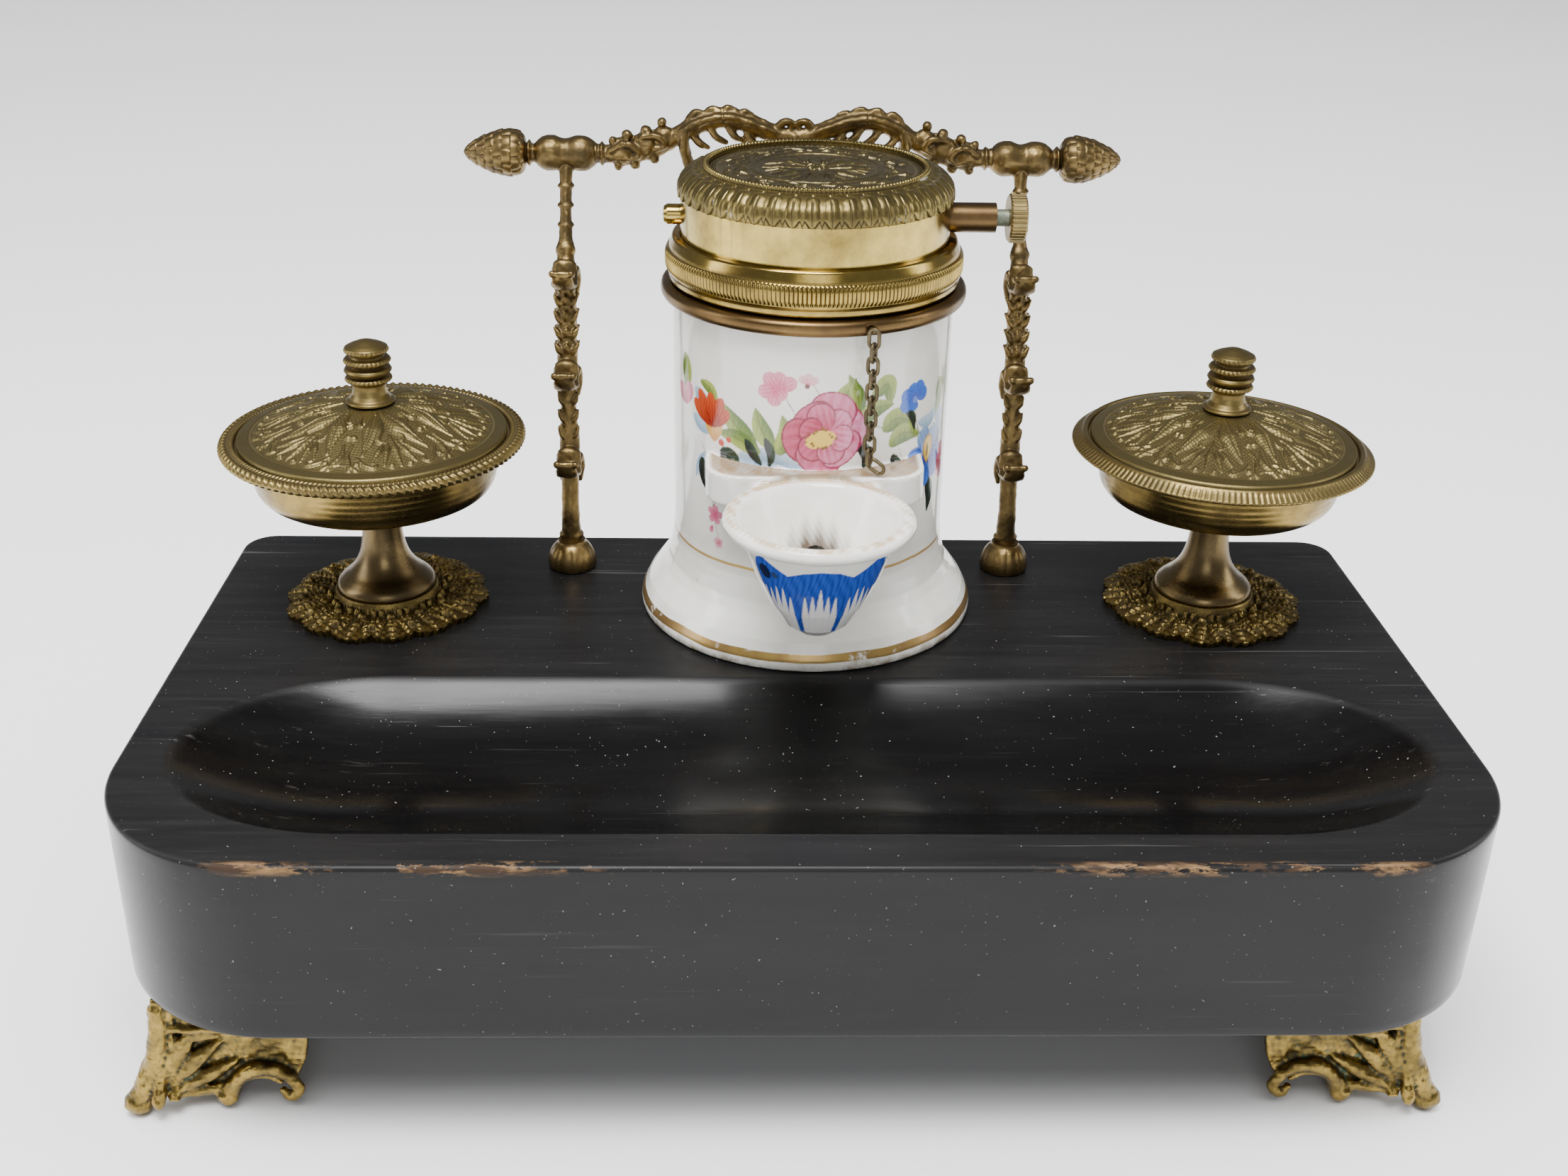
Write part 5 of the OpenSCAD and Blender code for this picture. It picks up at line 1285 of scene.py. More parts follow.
def lid_relief(side, at, turn):
    """Pressed lid: six pairs of leaves round the finial, fans and curls between, studs near the rim."""
    low = 45.0

    def dome(r):
        return low + np.interp(r, [1.5, 6.0, 10, 14, 19, 24, 28.4, 29.3, 29.6, 32.1, 32.5],
                               [8.6, 8.5, 7.7, 6.7, 5.1, 3.4, 2.0, 1.75, 2.0, 1.55, 1.1])

    def face(x, y, angle, share):
        r = np.hypot(x, y)
        a = fold(angle + turn, 6)
        px, py = r * np.cos(a), r * np.sin(a)
        q = np.abs(py)
        big = stroke_relief(px, q, [([(6.8, 0.6), (10.5, 1.4), (15.5, 3.9), (21.8, 7.7)], 0.8, 2.7, 0.3,
                                     1.5)])
        vein = stroke_relief(px, q, [([(9, 1.2), (14.5, 3.4), (20.5, 7.0)], 0.3, 0.5, 0.2, 0.35)])
        curls = stroke_relief(px, q, [
            ([(8.6, 4.6), (11.5, 5.6), (12.6, 4.5), (11.6, 3.7), (10.8, 4.4)], 0.55, 0.7, 0.4, 0.9),
            ([(14.6, 0.9), (18.0, 3.0), (19.4, 1.9), (18.6, 0.9)], 0.5, 0.7, 0.4, 0.8),
            ([(17.0, 0.0), (20.5, 0.0), (27.6, 0.0)], 0.5, 1.0, 0.3, 0.95),
            ([(18.8, 0.8), (22.0, 2.0), (26.6, 3.8)], 0.4, 0.9, 0.3, 0.9),
            ([(19.4, 2.0), (22.0, 4.0), (24.6, 6.2)], 0.4, 0.8, 0.3, 0.8),
            ([(22.4, 9.2), (25.0, 8.4), (27.0, 6.6), (26.2, 5.6), (25.2, 6.2)], 0.5, 0.7, 0.4, 0.75),
            ([(17.6, 9.0), (20.4, 11.0), (24.0, 11.6), (27.4, 12.4)], 0.4, 0.8, 0.4, 0.75),
            ([(23.0, 12.9), (25.2, 11.0), (27.4, 10.4)], 0.3, 0.7, 0.3, 0.7)])
        studs = np.zeros_like(r)
        for sx, sy, radius in ((27.3, 2.2, 0.8), (24.6, 9.9, 0.9), (28.1, 8.9, 0.8), (15.2, 8.0, 0.9)):
            studs = np.maximum(studs,
                               0.9 * np.sqrt(np.clip(1 - ((px - sx) ** 2 + (q - sy) ** 2) / radius ** 2, 0,
                               1)))
        stipple = 0.07 * np.sin(px * 5.1 + py) * np.sin(py * 5.6 - px)
        inside = np.clip((28.9 - r) / 0.5, 0, 1) * np.clip((r - 6.2) / 0.6, 0, 1)
        total = np.maximum(np.maximum(big - vein, curls), studs) + stipple
        return dome(r) + total * inside * 0.8

    n, rings, edge_r = 960, 170, 32.5
    points, _ = disc(lambda a: np.full_like(a, edge_r), 1.62, face, rings=rings, steps=n)
    under = line([(28.0, low), (28.0, low - 2.6), (27.0, low - 2.6), (27.0, low + 1.2), (14.0, low + 5.2),
                  (6.0, low + 6.9), (1.62, low + 7.1)], 1.0)
    angle = np.arange(n) * TAU / n
    extra = np.stack([under[:, :1] * np.cos(angle), under[:, :1] * np.sin(angle),
                      under[:, 1:2] * np.ones((1, n))], -1).reshape(-1, 3)
    top = points[:rings * n]
    edge = top[-n:].copy()
    edge[:, 2] = low
    points = np.vstack([top, edge, extra])
    rows = rings + 1 + len(under)
    faces = [tuple(reversed(f)) for f in grid_faces(rows, n, wrap_rows=True, wrap_columns=True)]
    mesh = to_mesh("lid_" + side, points + at, faces)
    mark_sharp(mesh, 60)
    add_piece("lid_relief_" + side, mesh, "lid", "lid_" + side)


def rim(side, at):
    """Flanged ring: a rope edge on the left dish, a reeded cone on the right one."""
    if side == "left":
        profile = [(28.9, 43.1), (34.0, 43.1), (35.6, 43.3), (36.5, 43.9), (36.75, 44.7), (36.4, 45.5),
                   (35.6, 46.0), (34.9, 45.9), (34.6, 45.75), (34.3, 45.95), (33.8, 46.15), (33.3, 46.0),
                   (33.0, 45.6), (32.9, 45.0), (28.9, 45.0), (28.9, 43.1)]

        def relief(angle, along, r, z):
            rope = 0.24 * np.sin(angle * 112 + along * 1.5)
            wire = 0.12 * np.sin(angle * 190 - along * 3.0)
            outer = np.clip((r - 34.9) / 0.4, 0, 1) * np.clip((z - 43.2) / 0.4, 0, 1)
            inner = np.clip((34.6 - r) / 0.2, 0, 1) * np.clip((z - 45.7) / 0.2, 0, 1)
            return rope * outer + wire * inner
    else:
        profile = [(28.9, 43.1), (35.2, 43.1), (36.4, 43.3), (36.9, 43.7), (36.9, 44.1), (36.3, 44.5),
                   (35.3, 45.2), (34.5, 45.9), (34.1, 46.25), (33.5, 46.3), (33.1, 46.0), (32.95, 45.5),
                   (32.9, 45.0), (28.9, 45.0), (28.9, 43.1)]

        def relief(angle, along, r, z):
            reeds = 0.16 * np.abs(np.sin(angle * 82)) - 0.12
            return reeds * np.clip((r - 34.5) / 0.3, 0, 1) * np.clip((z - 43.6) / 0.3, 0, 1)

    turned_piece("rim_ring_" + side + "_turned", line(profile, 0.25), at, "ring", "rim_ring_" + side, 1440,
                 relief, sharp=70)


def bowl_and_stem(side, at):
    """Spun pan with a rolled shoulder, on a trumpet stem."""
    outer = curve([(2.1, 30.0), (8.0, 30.0), (16.0, 30.1), (23.0, 30.5), (27.0, 31.6), (28.9, 33.8),
                   (29.5, 36.5), (29.75, 39.5), (30.0, 42.95)], 0.5)
    inner = curve([(28.8, 42.95), (28.5, 38.0), (27.9, 34.4), (26.4, 32.6), (22.6, 31.6), (16.0, 31.3),
                   (2.1, 31.2)], 0.5)
    def spun(angle, along, r, z):
        dents = 0.10 * np.sin(angle * 2 + 0.6) * np.sin(z * 0.4) + 0.05 * np.sin(angle * 5 + z * 0.3)
        return (dents + 0.05 * np.sin(z * 4.0) * np.exp(-((z - 38) / 4) ** 2)) * (r > 20)

    turned_piece("bowl_" + side + "_spun", np.vstack([outer, inner, outer[:1]]), at, "spun", "bowl_" + side,
                 240, spun,
                 sharp=60)
    stem = curve([(12.4, 4.95), (12.4, 5.5), (11.9, 6.7), (10.6, 8.0), (8.8, 9.6), (7.1, 11.8), (6.0, 14.2),
                  (5.3, 17.0), (4.95, 20.0), (4.8, 23.0), (4.8, 26.0), (4.8, 29.9)], 0.3)
    bore = line([(4.8, 29.9), (2.05, 29.9), (2.05, 4.95), (12.4, 4.95)], 1.0)
    turned_piece("dish_stem_" + side + "_turned", np.vstack([stem, bore[1:]]), at, "stem",
                 "dish_stem_" + side, 128,
                 sharp=50)


def wreath(side, at):
    """Cast wreath of leaves and small flowers round the stem's foot, a little different in each sector."""
    count = 14
    jitter = np.random.default_rng(11 if side == "left" else 23)
    lean = jitter.uniform(-0.5, 0.5, count)
    size = jitter.uniform(0.85, 1.1, count)
    swell = jitter.uniform(-0.5, 0.1, count)

    def outline(angle):
        u = fold(angle, count) / (TAU / count)
        k = np.round(angle / (TAU / count)).astype(int) % count
        scallop = 25.6 + swell[k] * np.cos(u * math.pi) - 1.9 * np.abs(2 * u) ** 2.2
        return scallop + 0.25 * np.cos(angle * count * 5)

    def face(x, y, angle, share):
        r = np.hypot(x, y)
        k = np.round(angle / (TAU / count)).astype(int) % count
        a = fold(angle, count)
        px, py = r * np.cos(a), r * np.sin(a) - lean[k] * (r - 20) * 0.12
        q = np.abs(py)
        leaf = stroke_relief(px, q, [([(15.2, 0.0), (19.5, 0.0), (25.0, 0.0)], 0.8, 1.5, 0.5, 1.5),
                                     ([(16.5, 1.2), (19.5, 2.7), (23.6, 4.0)], 0.6, 1.15, 0.4, 1.25),
                                     ([(15.0, 2.8), (17.0, 3.2), (18.6, 3.6)], 0.5, 0.8, 0.3,
                                      1.0)]) * size[k]
        buds = np.zeros_like(r)
        for sx, sy, radius in ((16.2, 0.0, 1.3), (20.6, 4.5, 1.0), (14.0, 2.2, 0.9)):
            buds = np.maximum(buds,
                              1.7 * np.sqrt(np.clip(1 - ((px - sx) ** 2 + (q - sy) ** 2) / radius ** 2, 0,
                              1)))
        notch = -0.35 * np.abs(np.sin(px * 2.1 + q * 1.4))
        hub = 4.85 - 1.5 * np.clip((r - 12.7) / 0.5, 0, 1)
        base = np.where(r < 13.4, hub, 2.3 - 0.9 * np.clip((r - 22) / 4, 0, 1))
        body = np.maximum(leaf + notch * (leaf > 0.2), buds)
        out = np.clip((r - 13.2) / 0.5, 0, 1)
        return np.minimum(base + body * out + 0.1 * np.sin(x * 2.7) * np.sin(y * 3.1) * out, 4.88)

    points, faces = disc(outline, 2.05, face, rings=120, steps=1120, skirt=0.02)
    mesh = to_mesh("wreath_" + side, points + at, faces)
    mark_sharp(mesh, 75)
    add_piece("rosette_" + side + "_cast", mesh, "wreath", "rosette_" + side)


def finial(side, at):
    """Stack of turned rings with beaded edges, on a flared neck."""
    z0 = 54.0
    profile = [(0.02, z0 - 3), (1.56, z0 - 3), (1.56, z0 + 0.05), (5.85, z0 + 0.05), (5.85, z0 + 0.5),
               (5.0, z0 + 1.0), (4.3, z0 + 2.1), (3.95, z0 + 3.4), (4.0, z0 + 4.6), (4.4, z0 + 5.2),
               (5.25, z0 + 5.4), (5.6, z0 + 5.9), (5.3, z0 + 6.5), (4.2, z0 + 6.7), (4.0, z0 + 7.0),
               (4.4, z0 + 7.3), (5.4, z0 + 7.5), (5.75, z0 + 8.1), (5.4, z0 + 8.7), (4.3, z0 + 8.9),
               (4.0, z0 + 9.3), (4.3, z0 + 9.7), (5.3, z0 + 9.9), (5.6, z0 + 10.5),
               (5.3, z0 + 11.1), (4.2, z0 + 11.3), (3.9, z0 + 11.8), (4.2, z0 + 12.3), (5.0, z0 + 12.5),
               (5.3, z0 + 13.1), (5.1, z0 + 13.8), (4.0, z0 + 14.4), (2.0, z0 + 15.2), (0.02, z0 + 15.7)]

    def beads(angle, along, r, z):
        edge = np.zeros(np.broadcast(r, z).shape)
        for height, count in ((5.9, 15), (10.5, 15), (13.1, 13)):
            bead = 0.26 * np.abs(np.cos(angle * count)) - 0.12
            edge = edge + np.exp(-((z - z0 - height) / 0.45) ** 4) * bead
        return edge * (r > 4.6)

    steps = 300
    points, faces = lathe(line(profile, 0.18), steps, beads)
    mesh = to_mesh("finial_" + side, points + at, capped(points, faces, steps))
    mark_sharp(mesh, 60)
    add_piece("finial_" + side + "_turned", mesh, "ring", "finial_" + side)


# ------------------------------------------------------------------ pen rack

POST_LINE = [(0, 8), (0, 17), (1.6, 23), (4, 31), (6.5, 54), (11.5, 79), (22.8, 105)]
HOOKS = [(4.0, 31.0), (6.5, 54.0), (11.5, 79.0)]
BAR_H = 105.0
POSTS_MID = (POSTS["left"][0] + POSTS["right"][0]) / 2


def make_rack():
    for side in ("left", "right"):
        shoe(side)
        post(side)
        bar_bud(side)
    bar()


def shoe(side):
    profile = [(2.05, 0.05), (5.6, 0.05), (6.1, 0.5), (6.25, 1.2), (6.2, 2.6), (5.7, 4.4), (4.7, 6.2),
               (3.7, 7.3), (3.55, 7.95), (2.05, 7.95), (2.05, 0.05)]

    def gadroons(angle, along, r, z):
        return (0.22 * np.abs(np.cos(angle * 5)) - 0.08) * np.clip((z - 0.3) / 0.8, 0,
                1) * np.clip((7 - z) / 1.5, 0, 1) * (r > 3.6)

    turned_piece("post_shoe_" + side + "_cast", line(curve(profile[:9], 0.3).tolist() + profile[9:], 0.35),
                 POSTS[side],
                 "bronze", "post_shoe_" + side, 160, gadroons, sharp=60)


def post(side):
    """Cast post: smooth hoof below, scroll knuckles with pen hooks, leafy shaft above."""
    def on_line(z):
        return float(np.interp(z, [p[1] for p in POST_LINE], [p[0] for p in POST_LINE]))

    shells = Shells()
    low = [(0, y, z) for y, z in ((0, 8.0), (0, 12), (0.1, 17), (1.6, 23), (3.4, 29))]
    shells.rib(low, [2.6, 2.5, 2.3, 2.3, 2.6], [2.5, 2.4, 2.2, 2.2, 2.4])
    shells.lump((0, 0.2, 9.2), (3.3, 2.7, 1.6))
    shells.lump((0, on_line(26.5), 26.5), (3.3, 2.9, 1.0))
    middle_part = [(0, on_line(z), z) for z in (29, 34, 40, 47, 54)]
    shells.rib(middle_part, [2.6, 2.7, 2.0, 2.2, 2.9], [2.2, 2.0, 1.7, 1.8, 2.2])
    upper = [(0, on_line(z), z) for z in (54, 60, 66, 72, 79, 86, 92, 98, 105)]
    shells.rib(upper, [2.8, 2.5, 2.7, 2.3, 2.4, 1.7, 1.5, 1.6, 2.2],
               [2.1, 1.9, 2.0, 1.8, 2.0, 1.6, 1.5, 1.6, 2.0])
    for y, z in HOOKS:
        centre_y, centre_z = y - 2.8 - 4.2, z + 1
        turn = np.radians([0, -35, -75, -115, -150, -178])
        arc = [(0, centre_y + 4.2 * math.cos(a), centre_z + 4.2 * math.sin(a)) for a in turn]
        shells.rib(arc, [3.1, 3.3, 3.2, 3.0, 2.8, 2.4], [1.5, 1.35, 1.2, 1.1, 1.05, 1.0])
        for x in (-2.3, 2.3):
            shells.lump((x, centre_y - 4.2, centre_z - 0.1), (1.1, 1.0, 1.0), 12)
            shells.lump((x, centre_y + 1.4, centre_z - 4.2), (1.2, 1.2, 1.1), 12)
            shells.rib([(x, y + 1.4, z - 8), (x * 1.25, y + 1.0, z - 4), (x * 1.2, y - 0.4, z - 0.6),
                        (x * 1.1, y - 1.6, z - 2.4)], [0.7, 0.9, 0.9, 0.6], [0.9, 1.0, 1.0, 0.7])
        shells.lump((0, y + 1.3, z + 3.6), (2.7, 1.9, 2.2), 16)
    for z in (58.5, 62.5, 66.5, 70.5, 74.5):
        y = on_line(z)
        for x in (-1, 1):
            shells.rib([(x * 0.6, y - 1.2, z - 2.2), (x * 2.0, y - 1.7, z), (x * 3.0, y - 1.3, z + 1.6)],
                       [0.7, 1.05, 0.4], [0.7, 0.9, 0.4])
            shells.rib([(x * 0.6, y + 1.2, z - 2.2), (x * 2.0, y + 1.7, z), (x * 3.0, y + 1.2, z + 1.4)],
                       [0.7, 0.95, 0.4], [0.7, 0.9, 0.4])
        shells.lump((0, y - 1.9, z + 0.4), (0.9, 0.8, 1.5), 12)
    for z in (36.5, 41, 45.5):
        y = on_line(z)
        for x in (-1, 1):
            shells.rib([(x * 0.5, y - 1.1, z - 2.0), (x * 1.9, y - 1.4, z), (x * 2.5, y - 1.0, z + 1.8)],
                       [0.7, 0.9, 0.4], [0.7, 0.8, 0.4])
    for z in (84, 88.5, 93, 97.5):
        y = on_line(z)
        shells.lump((0, y, z), (2.3, 2.0, 0.8), 14)
    top_y, top_z = 22.8, BAR_H
    shells.rib([(-3.6, top_y, top_z), (0, top_y, top_z), (3.6, top_y, top_z)], [4.1, 3.7, 4.1],
               [4.1, 3.7, 4.1],
               (0, 0, 1), 24)
    for x in (-3.7, 3.7):
        shells.rib([(x - 0.3, top_y, top_z), (x + 0.3, top_y, top_z)], [4.5, 4.5], [4.5, 4.5], (0, 0, 1),
                   24)
    mesh = cast("post_" + side, shells, 0.32, 3, 0.06, 31)
    mesh.transform(Matrix.Translation(Vector(POSTS[side] * MM)))
    add_piece("rack_post_" + side + "_cast", mesh, "bronze", "rack_post_" + side)


def bar():
    """Ornamental bar: double arch of acanthus in the middle, lumps, knuckles, and rods out to the buds."""
    def at(x):
        low_x, high_x, rise = 18.0, 42.0, 9.0
        x = abs(x)
        if x > high_x:
            return 0.0
        if x > low_x:
            return rise * (1 + math.cos(math.pi * (x - low_x) / (high_x - low_x))) / 2
        return rise - 2.2 * (1 + math.cos(math.pi * x / low_x))

    shells = Shells()
    xs = np.linspace(-69.5, 69.5, 57)
    shells.rib([(x, 0, at(x)) for x in xs], [2.3] * 57, [2.3] * 57, (0, 1, 0), 16)
    for s in (-1, 1):
        for x, r in ((52.2, 3.3), (50.4, 2.7), (48.8, 3.1), (63.6, 3.3), (65.4, 2.8), (67.2, 3.4)):
            shells.lump((s * x, 0, at(x)), (0.8, r, r), 16)
        # cartouche with small curls above and below
        shells.lump((s * 43.5, 0, 0.6), (3.8, 2.9, 3.6), 18)
        shells.lump((s * 38.0, 0, 2.0), (4.2, 2.9, 3.4), 18)
        shells.lump((s * 33.0, 0, 4.2), (3.2, 2.6, 3.0), 18)
        for x, z, r in ((46.0, 3.4, 1.2), (42.4, 4.8, 1.4), (37.6, 6.0, 1.5), (33.5, 8.0, 1.3),
                        (44.8, -3.0, 1.2), (40.4, -2.6, 1.3), (35.6, -1.0, 1.3)):
            shells.lump((s * x, -0.6, z), (r, r * 1.2, r), 12)
        for y in (-2.1, 2.1):
            shells.rib([(s * 46.5, y, 1.2), (s * 42.5, y * 1.25, 3.0), (s * 39.4, y * 1.2, 0.6),
                        (s * 41.6, y, -1.2), (s * 43.0, y, 0.4)], [0.8, 0.9, 0.9, 0.7, 0.6], [0.8, 0.9, 0.9,
                        0.7, 0.6])
            shells.rib([(s * 38.5, y, 4.6), (s * 34.5, y * 1.25, 5.0), (s * 32.8, y * 1.1, 2.6),
                        (s * 35.2, y, 1.6)],
                       [0.7, 0.9, 0.8, 0.6], [0.7, 0.9, 0.8, 0.6])
        # arch of three leaf ribs, and the tail that droops beside it
        for y, lift, r in ((-1.7, 0.8, 1.1), (0.0, 1.6, 1.3), (1.7, 0.8, 1.1)):
            path = [(s * x, y, at(x) + lift) for x in (30, 26, 22, 18, 13, 8, 4)]
            shells.rib(path, [0.7, r, r, r * 1.15, r, r * 0.9, 0.6], [0.8, 1.3, 1.5, 1.6, 1.3, 1.1, 0.6])
            path = [(s * 27.5, y, 6.6), (s * 28.0, y * 1.1, 2.0), (s * 26.4, y * 1.1, -3.4),
                    (s * 23.8, y * 0.8, -7.4)]
            shells.rib(path, [1.0, 1.4, 1.2, 0.5], [1.4, 1.5, 1.1, 0.5])
        for x, z in ((25.0, 11.2), (21.0, 12.2), (17.0, 12.4), (13.0, 11.4)):
            shells.rib([(s * (x + 1.6), 0, z - 2.6), (s * x, 0, z - 0.6), (s * (x - 2.0), -0.2, z - 0.9)],
                       [1.5, 1.3, 0.7], [1.2, 1.0, 0.6], (0, 1, 0))
        for x, z in ((24.0, 3.2), (19.5, 4.6), (15.0, 5.0), (10.5, 3.6)):
            shells.rib([(s * (x + 1.6), -0.6, z + 1.8), (s * x, -1.0, z - 0.2),
                        (s * (x - 2.2), -0.8, z - 1.2)],
                       [1.5, 1.4, 0.6], [1.0, 1.0, 0.6], (0, 1, 0))
        shells.rib([(s * 5.0, 0, 5.8), (s * 3.0, -0.6, 8.6), (s * 0.6, -0.6, 8.2), (s * 1.4, -0.6, 6.4)],
                   [1.6, 1.4, 1.0, 0.8], [1.1, 1.1, 0.9, 0.7], (0, 1, 0))
    shells.lump((0, 0, 4.4), (2.4, 2.7, 2.2), 18)
    mesh = cast("bar", shells, 0.32, 3, 0.09, 5)
    mesh.transform(Matrix.Translation(Vector((POSTS_MID, BAR[1], TOP_Z + BAR_H)) * MM))
    add_piece("rack_bar_cast", mesh, "bronze", "rack_bar")


def bar_bud(side):
    """Bud of overlapping scales on the end of the bar."""
    profile = curve([(0.02, 0.0), (2.6, 0.05), (3.9, 0.4), (5.1, 1.5), (5.7, 3.4), (5.6, 5.6), (4.8, 8.6),
                     (3.4, 11.8), (1.8, 14.4), (0.9, 15.4), (0.02, 15.85)], 0.16)

    def scales(angle, along, r, z):
        row = (along - 3.0) / 2.3
        k = np.floor(row)
        share = row - k
        u = fold(angle + np.where(k % 2 == 0, 0, TAU / 18), 9) / (TAU / 9)
        shape = np.sqrt(np.clip(1 - (2.0 * u) ** 2 - np.clip(0.55 - share, 0, 1) ** 2 * 1.2, 0, 1))
        return np.clip((along - 3.4) / 1.5, 0, 1) * np.clip((15.6 - z) / 2, 0,
                1) * (0.5 * shape * (1 - 0.55 * share) - 0.05)

    steps = 240
    points, faces = lathe(profile, steps, scales)
    sign = -1 if side == "left" else 1
    flat = np.stack([points[:, 2] * sign, points[:, 0] * sign, points[:, 1]], 1)
    place = np.array([POSTS_MID + sign * 68.0, BAR[1], TOP_Z + BAR_H])
    mesh = to_mesh("bud_" + side, flat + place, capped(points, faces, steps))
    face_out(mesh)
    add_piece("acorn_" + side + "_cast", mesh, "bronze", "acorn_" + side)


# ------------------------------------------------------------------ feet

def make_feet():
    """Acanthus bracket feet: one shape, mirrored to the four corners."""
    high = BLOCK_LOW[2]
    shells = Shells()
    for wing in (0, 1):
        def put(u, v, w, wing=wing):
            """u along the wing, v outwards from its face, w up."""
            return (u, -v, w) if wing == 0 else (-v, u, w)

        out = (0, 1, 0) if wing == 0 else (1, 0, 0)

        def stroke(path, widths, depths):
            shells.rib([put(*p) for p in path], depths, widths, out)

        band = [put(0.2, -4.0, 0), put(33.0, -4.0, 0), put(33.0, -0.8, 0), put(0.2, -0.8, 0)]
        sheet = [(0.5, high - 6), (0.0, 9), (-3, 4.5), (2.5, 3.0), (6.5, 3.6), (9.5, 3.0), (11.5, 1.2),
                 (15, 1.2), (16.5, 5.5), (18.2, 9.0), (20.6, 10.6), (23.2, 9.8), (24.8, 7.4), (28.6, 7.0),
                 (30, 10), (31.5, 15), (32.6, high - 8)]
        if wing == 1:
            band.reverse()
            sheet.reverse()
        shells.append(slab([p[:2] for p in band], high - 8.0, high - 0.05))
        p, f = slab(sheet, -3.7, -1.6)
        shells.append((np.array([put(q[0], q[2], q[1]) for q in p]), f))
        for w, r in ((high - 8.0, 1.1), (high - 0.95, 0.85)):
            stroke([(0.6, -0.6, w), (16, -0.4, w), (32.4, -0.6, w)], [r] * 3, [r] * 3)
        stroke([(32.2, -1.0, high - 8), (32.5, -0.8, high - 4.5), (32.2, -1.0, high - 1)], [0.8] * 3,
               [1.0] * 3)
        # leaf ribs that fan out from the toe
        stroke([(1.8, -1.6, 24.0), (1.0, -1.0, 16), (-1.0, -0.2, 9.8), (-3.6, 0.4, 5.0)],
               [1.0, 2.0, 1.9, 1.5], [0.9, 1.7, 1.6, 1.4])
        stroke([(8.6, -1.3, 22.4), (5.4, -0.7, 17.8), (2.6, -0.4, 12.2), (-0.6, 0.0, 7.4)],
               [0.7, 2.1, 1.8, 1.3], [0.6, 1.6, 1.5, 1.2])
        stroke([(13.2, -1.2, 18.0), (9.0, -0.6, 14.8), (4.6, -0.4, 10.2), (0.4, 0.0, 6.4)],
               [0.6, 2.0, 1.8, 1.3], [0.6, 1.5, 1.4, 1.2])
        stroke([(16.2, -1.2, 12.6), (11.6, -0.8, 10.2), (6.2, -0.5, 7.4), (1.0, -0.1, 4.8)],
               [0.6, 1.9, 1.8, 1.3], [0.6, 1.3, 1.3, 1.1])
        stroke([(12.6, -1.0, 4.6), (9.0, -0.8, 5.0), (4.6, -0.7, 4.6), (1.0, -0.4, 3.8)],
               [1.7, 1.5, 1.4, 1.1], [1.2, 1.2, 1.2, 1.0])
        for path in ([(3.2, -0.4, 21.5), (2.8, 0.2, 15.5), (0.8, 0.5, 10.2)],
                     [(6.0, -0.3, 18.6), (4.0, 0.4, 13.6), (1.2, 0.6, 9.0)],
                     [(9.0, -0.2, 15.6), (6.0, 0.3, 11.6), (2.4, 0.5, 8.0)],
                     [(12.8, -0.4, 10.6), (8.6, 0.1, 8.8), (3.6, 0.4, 6.4)]):
            stroke(path, [0.4, 0.6, 0.35], [0.5, 0.7, 0.4])
        # leaf tongue under the band, and the lobe that the scroll springs from
        stroke([(6.6, -0.9, 19.0), (10.0, -0.4, 20.4), (13.0, -0.9, 19.8)], [0.8, 1.3, 0.6],
               [0.9, 1.2, 0.7])
        shells.lump(put(13.2, -0.9, 3.2), (2.6, 2.1, 2.7) if wing == 0 else (2.1, 2.6, 2.7), 16)
        stroke([(13.8, -0.7, 4.4), (16.2, -0.4, 8.2), (19.4, -0.2, 11.0), (23.2, -0.2, 11.3),
                (26.6, -0.3, 9.4), (28.9, -0.4, 6.4), (28.4, -0.5, 3.8), (26.6, -0.6, 3.2),
                (25.8, -0.7, 4.6)],
               [1.9, 1.7, 1.6, 1.6, 1.6, 1.5, 1.4, 1.3, 1.1], [1.4, 1.5, 1.6, 1.6, 1.5, 1.4, 1.3, 1.2, 1.1])
        stroke([(16.0, -1.0, 6.0), (19.2, -0.6, 8.8), (22.6, -0.6, 9.0), (25.4, -0.8, 7.0)],
               [0.5, 0.7, 0.7, 0.5], [0.8, 0.9, 0.9, 0.7])
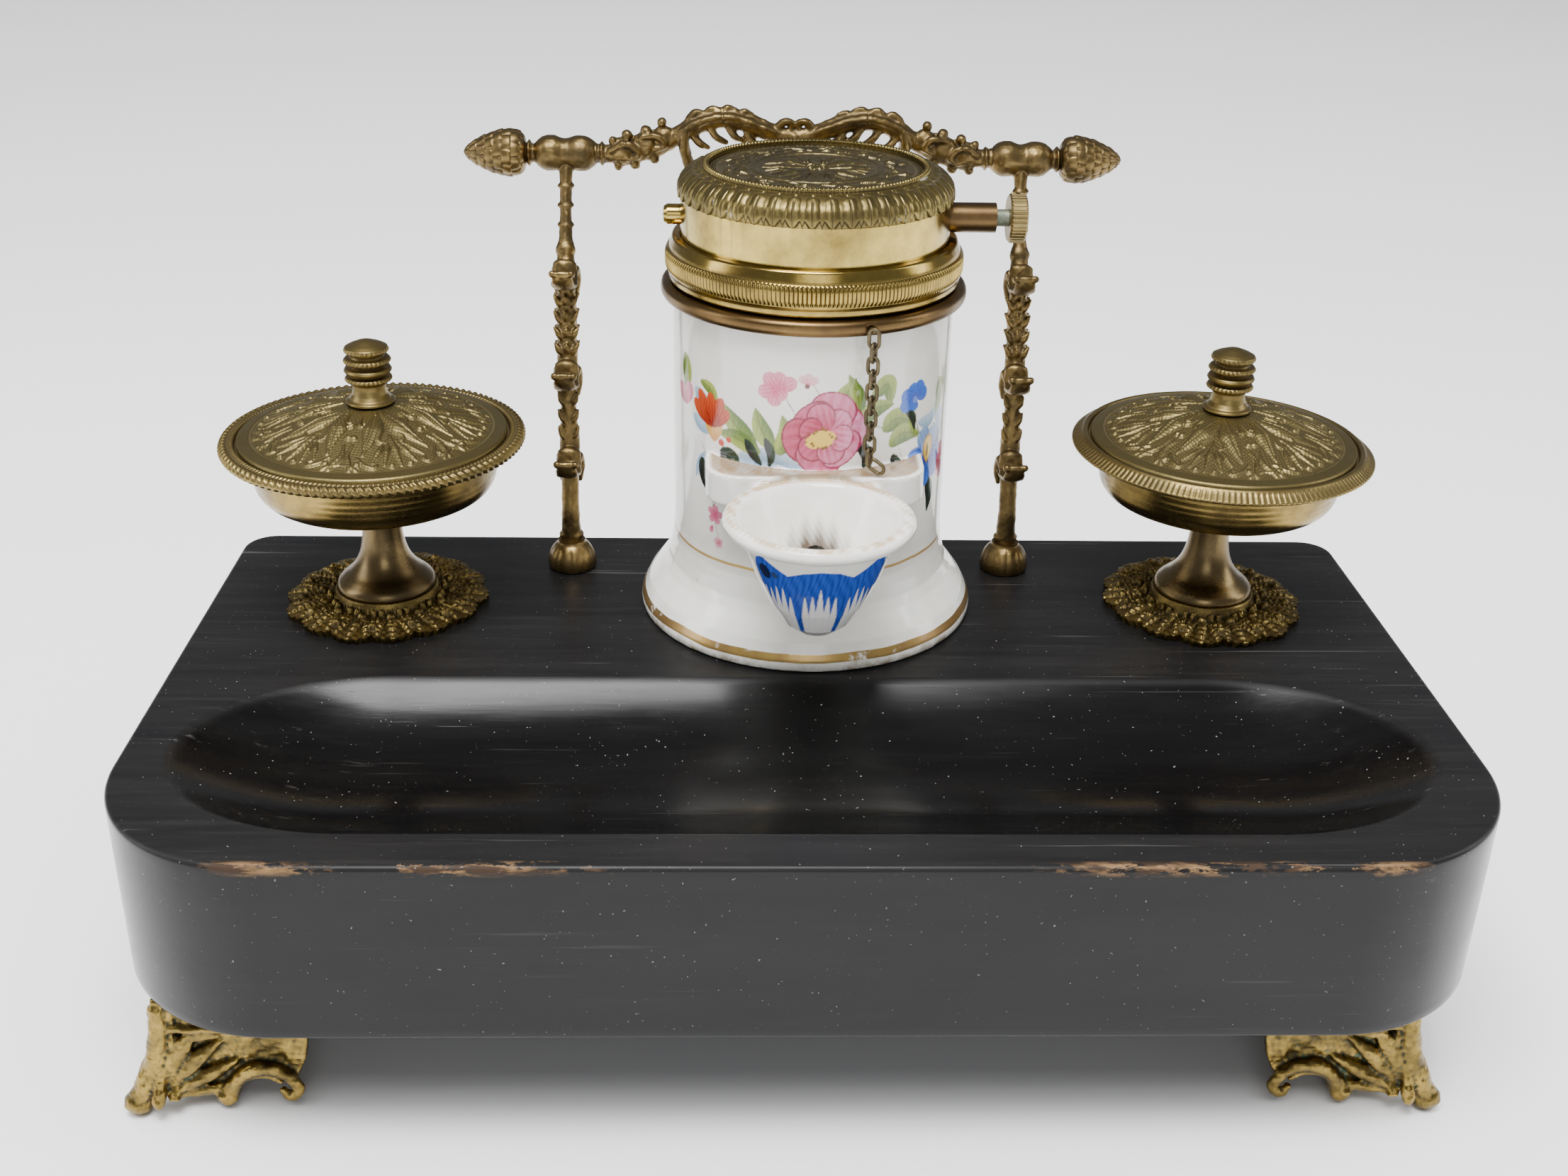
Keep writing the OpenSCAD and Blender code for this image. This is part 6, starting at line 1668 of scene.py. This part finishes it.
    # corner rib that flares sideways into the toe, and the scroll under it
    shells.rib([(0.8, 0.8, high - 3), (0.5, 0.5, 21), (-0.8, 0.2, 14), (-3.0, -0.3, 8.5),
                (-5.2, -0.7, 4.4)],
               [2.0, 2.2, 2.5, 2.9, 2.6], [1.8, 2.0, 2.3, 2.7, 2.5], (1, -1, 0))
    shells.lump((-5.6, -0.7, 3.0), (3.1, 3.1, 2.95), 18)
    shells.lump((1.8, 1.8, 12), (3.2, 3.2, 8.5), 18)
    shells.append(slab([(0.4, 0.4), (19.5, 0.4), (19.5, 3.0), (3.0, 19.5), (0.4, 19.5)], high - 3.0,
                       high - 0.05))
    points, faces = joined(shells)
    template = baked("foot", points, faces, [
        ("REMESH", {"mode": "VOXEL", "voxel_size": 0.36, "adaptivity": 0.0}),
        ("SMOOTH", {"factor": 0.5, "iterations": 3}),
    ])
    roughen(template, 0.16, 17)
    flatten(template, high)
    toe_out = (9.0, 4.2)
    for name, sx, sy in (("front_left", -1, -1), ("front_right", 1, -1), ("rear_left", -1, 1),
                         ("rear_right", 1, 1)):
        mesh = template.copy()
        mirror = Matrix.Diagonal((1 if sx < 0 else -1, 1 if sy < 0 else -1, 1, 1))
        mesh.transform(mirror)
        if sx * sy < 0:
            mesh.flip_normals()
        low, far = box_mm("foot_" + name)
        corner = (low[0] + toe_out[0] if sx < 0 else far[0] - toe_out[0],
                  low[1] + toe_out[1] if sy < 0 else far[1] - toe_out[1], 0)
        mesh.transform(Matrix.Translation(Vector(corner) * MM))
        add_piece("foot_" + name + "_cast", mesh, "gilt", "foot_" + name)


def flatten(mesh, high):
    """Keeps a casting between the floor and the block's underside."""
    for v in mesh.vertices:
        v.co.z = min(max(v.co.z, 0.0), (high - 0.02) * MM)


# ------------------------------------------------------------------ the rest

def dress_nodes():
    """Gives the CAD nodes that stay in view their finishes."""
    by_node = {"head_drum": "drum", "guide_plate": "polished", "shaft_tube": "collar",
               "pivot_stub": "polished",
               "drive_shaft": "verdigris", "pinion": "polished", "knurled_knob": "knob",
               "rack_rod": "polished",
               "plunger": "ebonite", "neck_gasket": "leather", "chain_eye": "chain",
               "chain_upper_links": "chain",
               "chain_lower_links": "chain"}
    for node in ("foot_screws", "dish_bolts", "dish_nuts", "post_bolts", "post_nuts", "guide_screws",
                 "knob_pin", "rod_nut"):
        by_node[node] = "steel"
    for node, name in by_node.items():
        mesh = frame["nodes"][node].data
        mesh.materials.clear()
        mesh.materials.append(MATERIALS[name])


make_materials()
make_block()
make_porcelain()
make_head()
make_dishes()
make_rack()
make_feet()
dress_nodes()
make_floor()
make_lights()
make_camera()
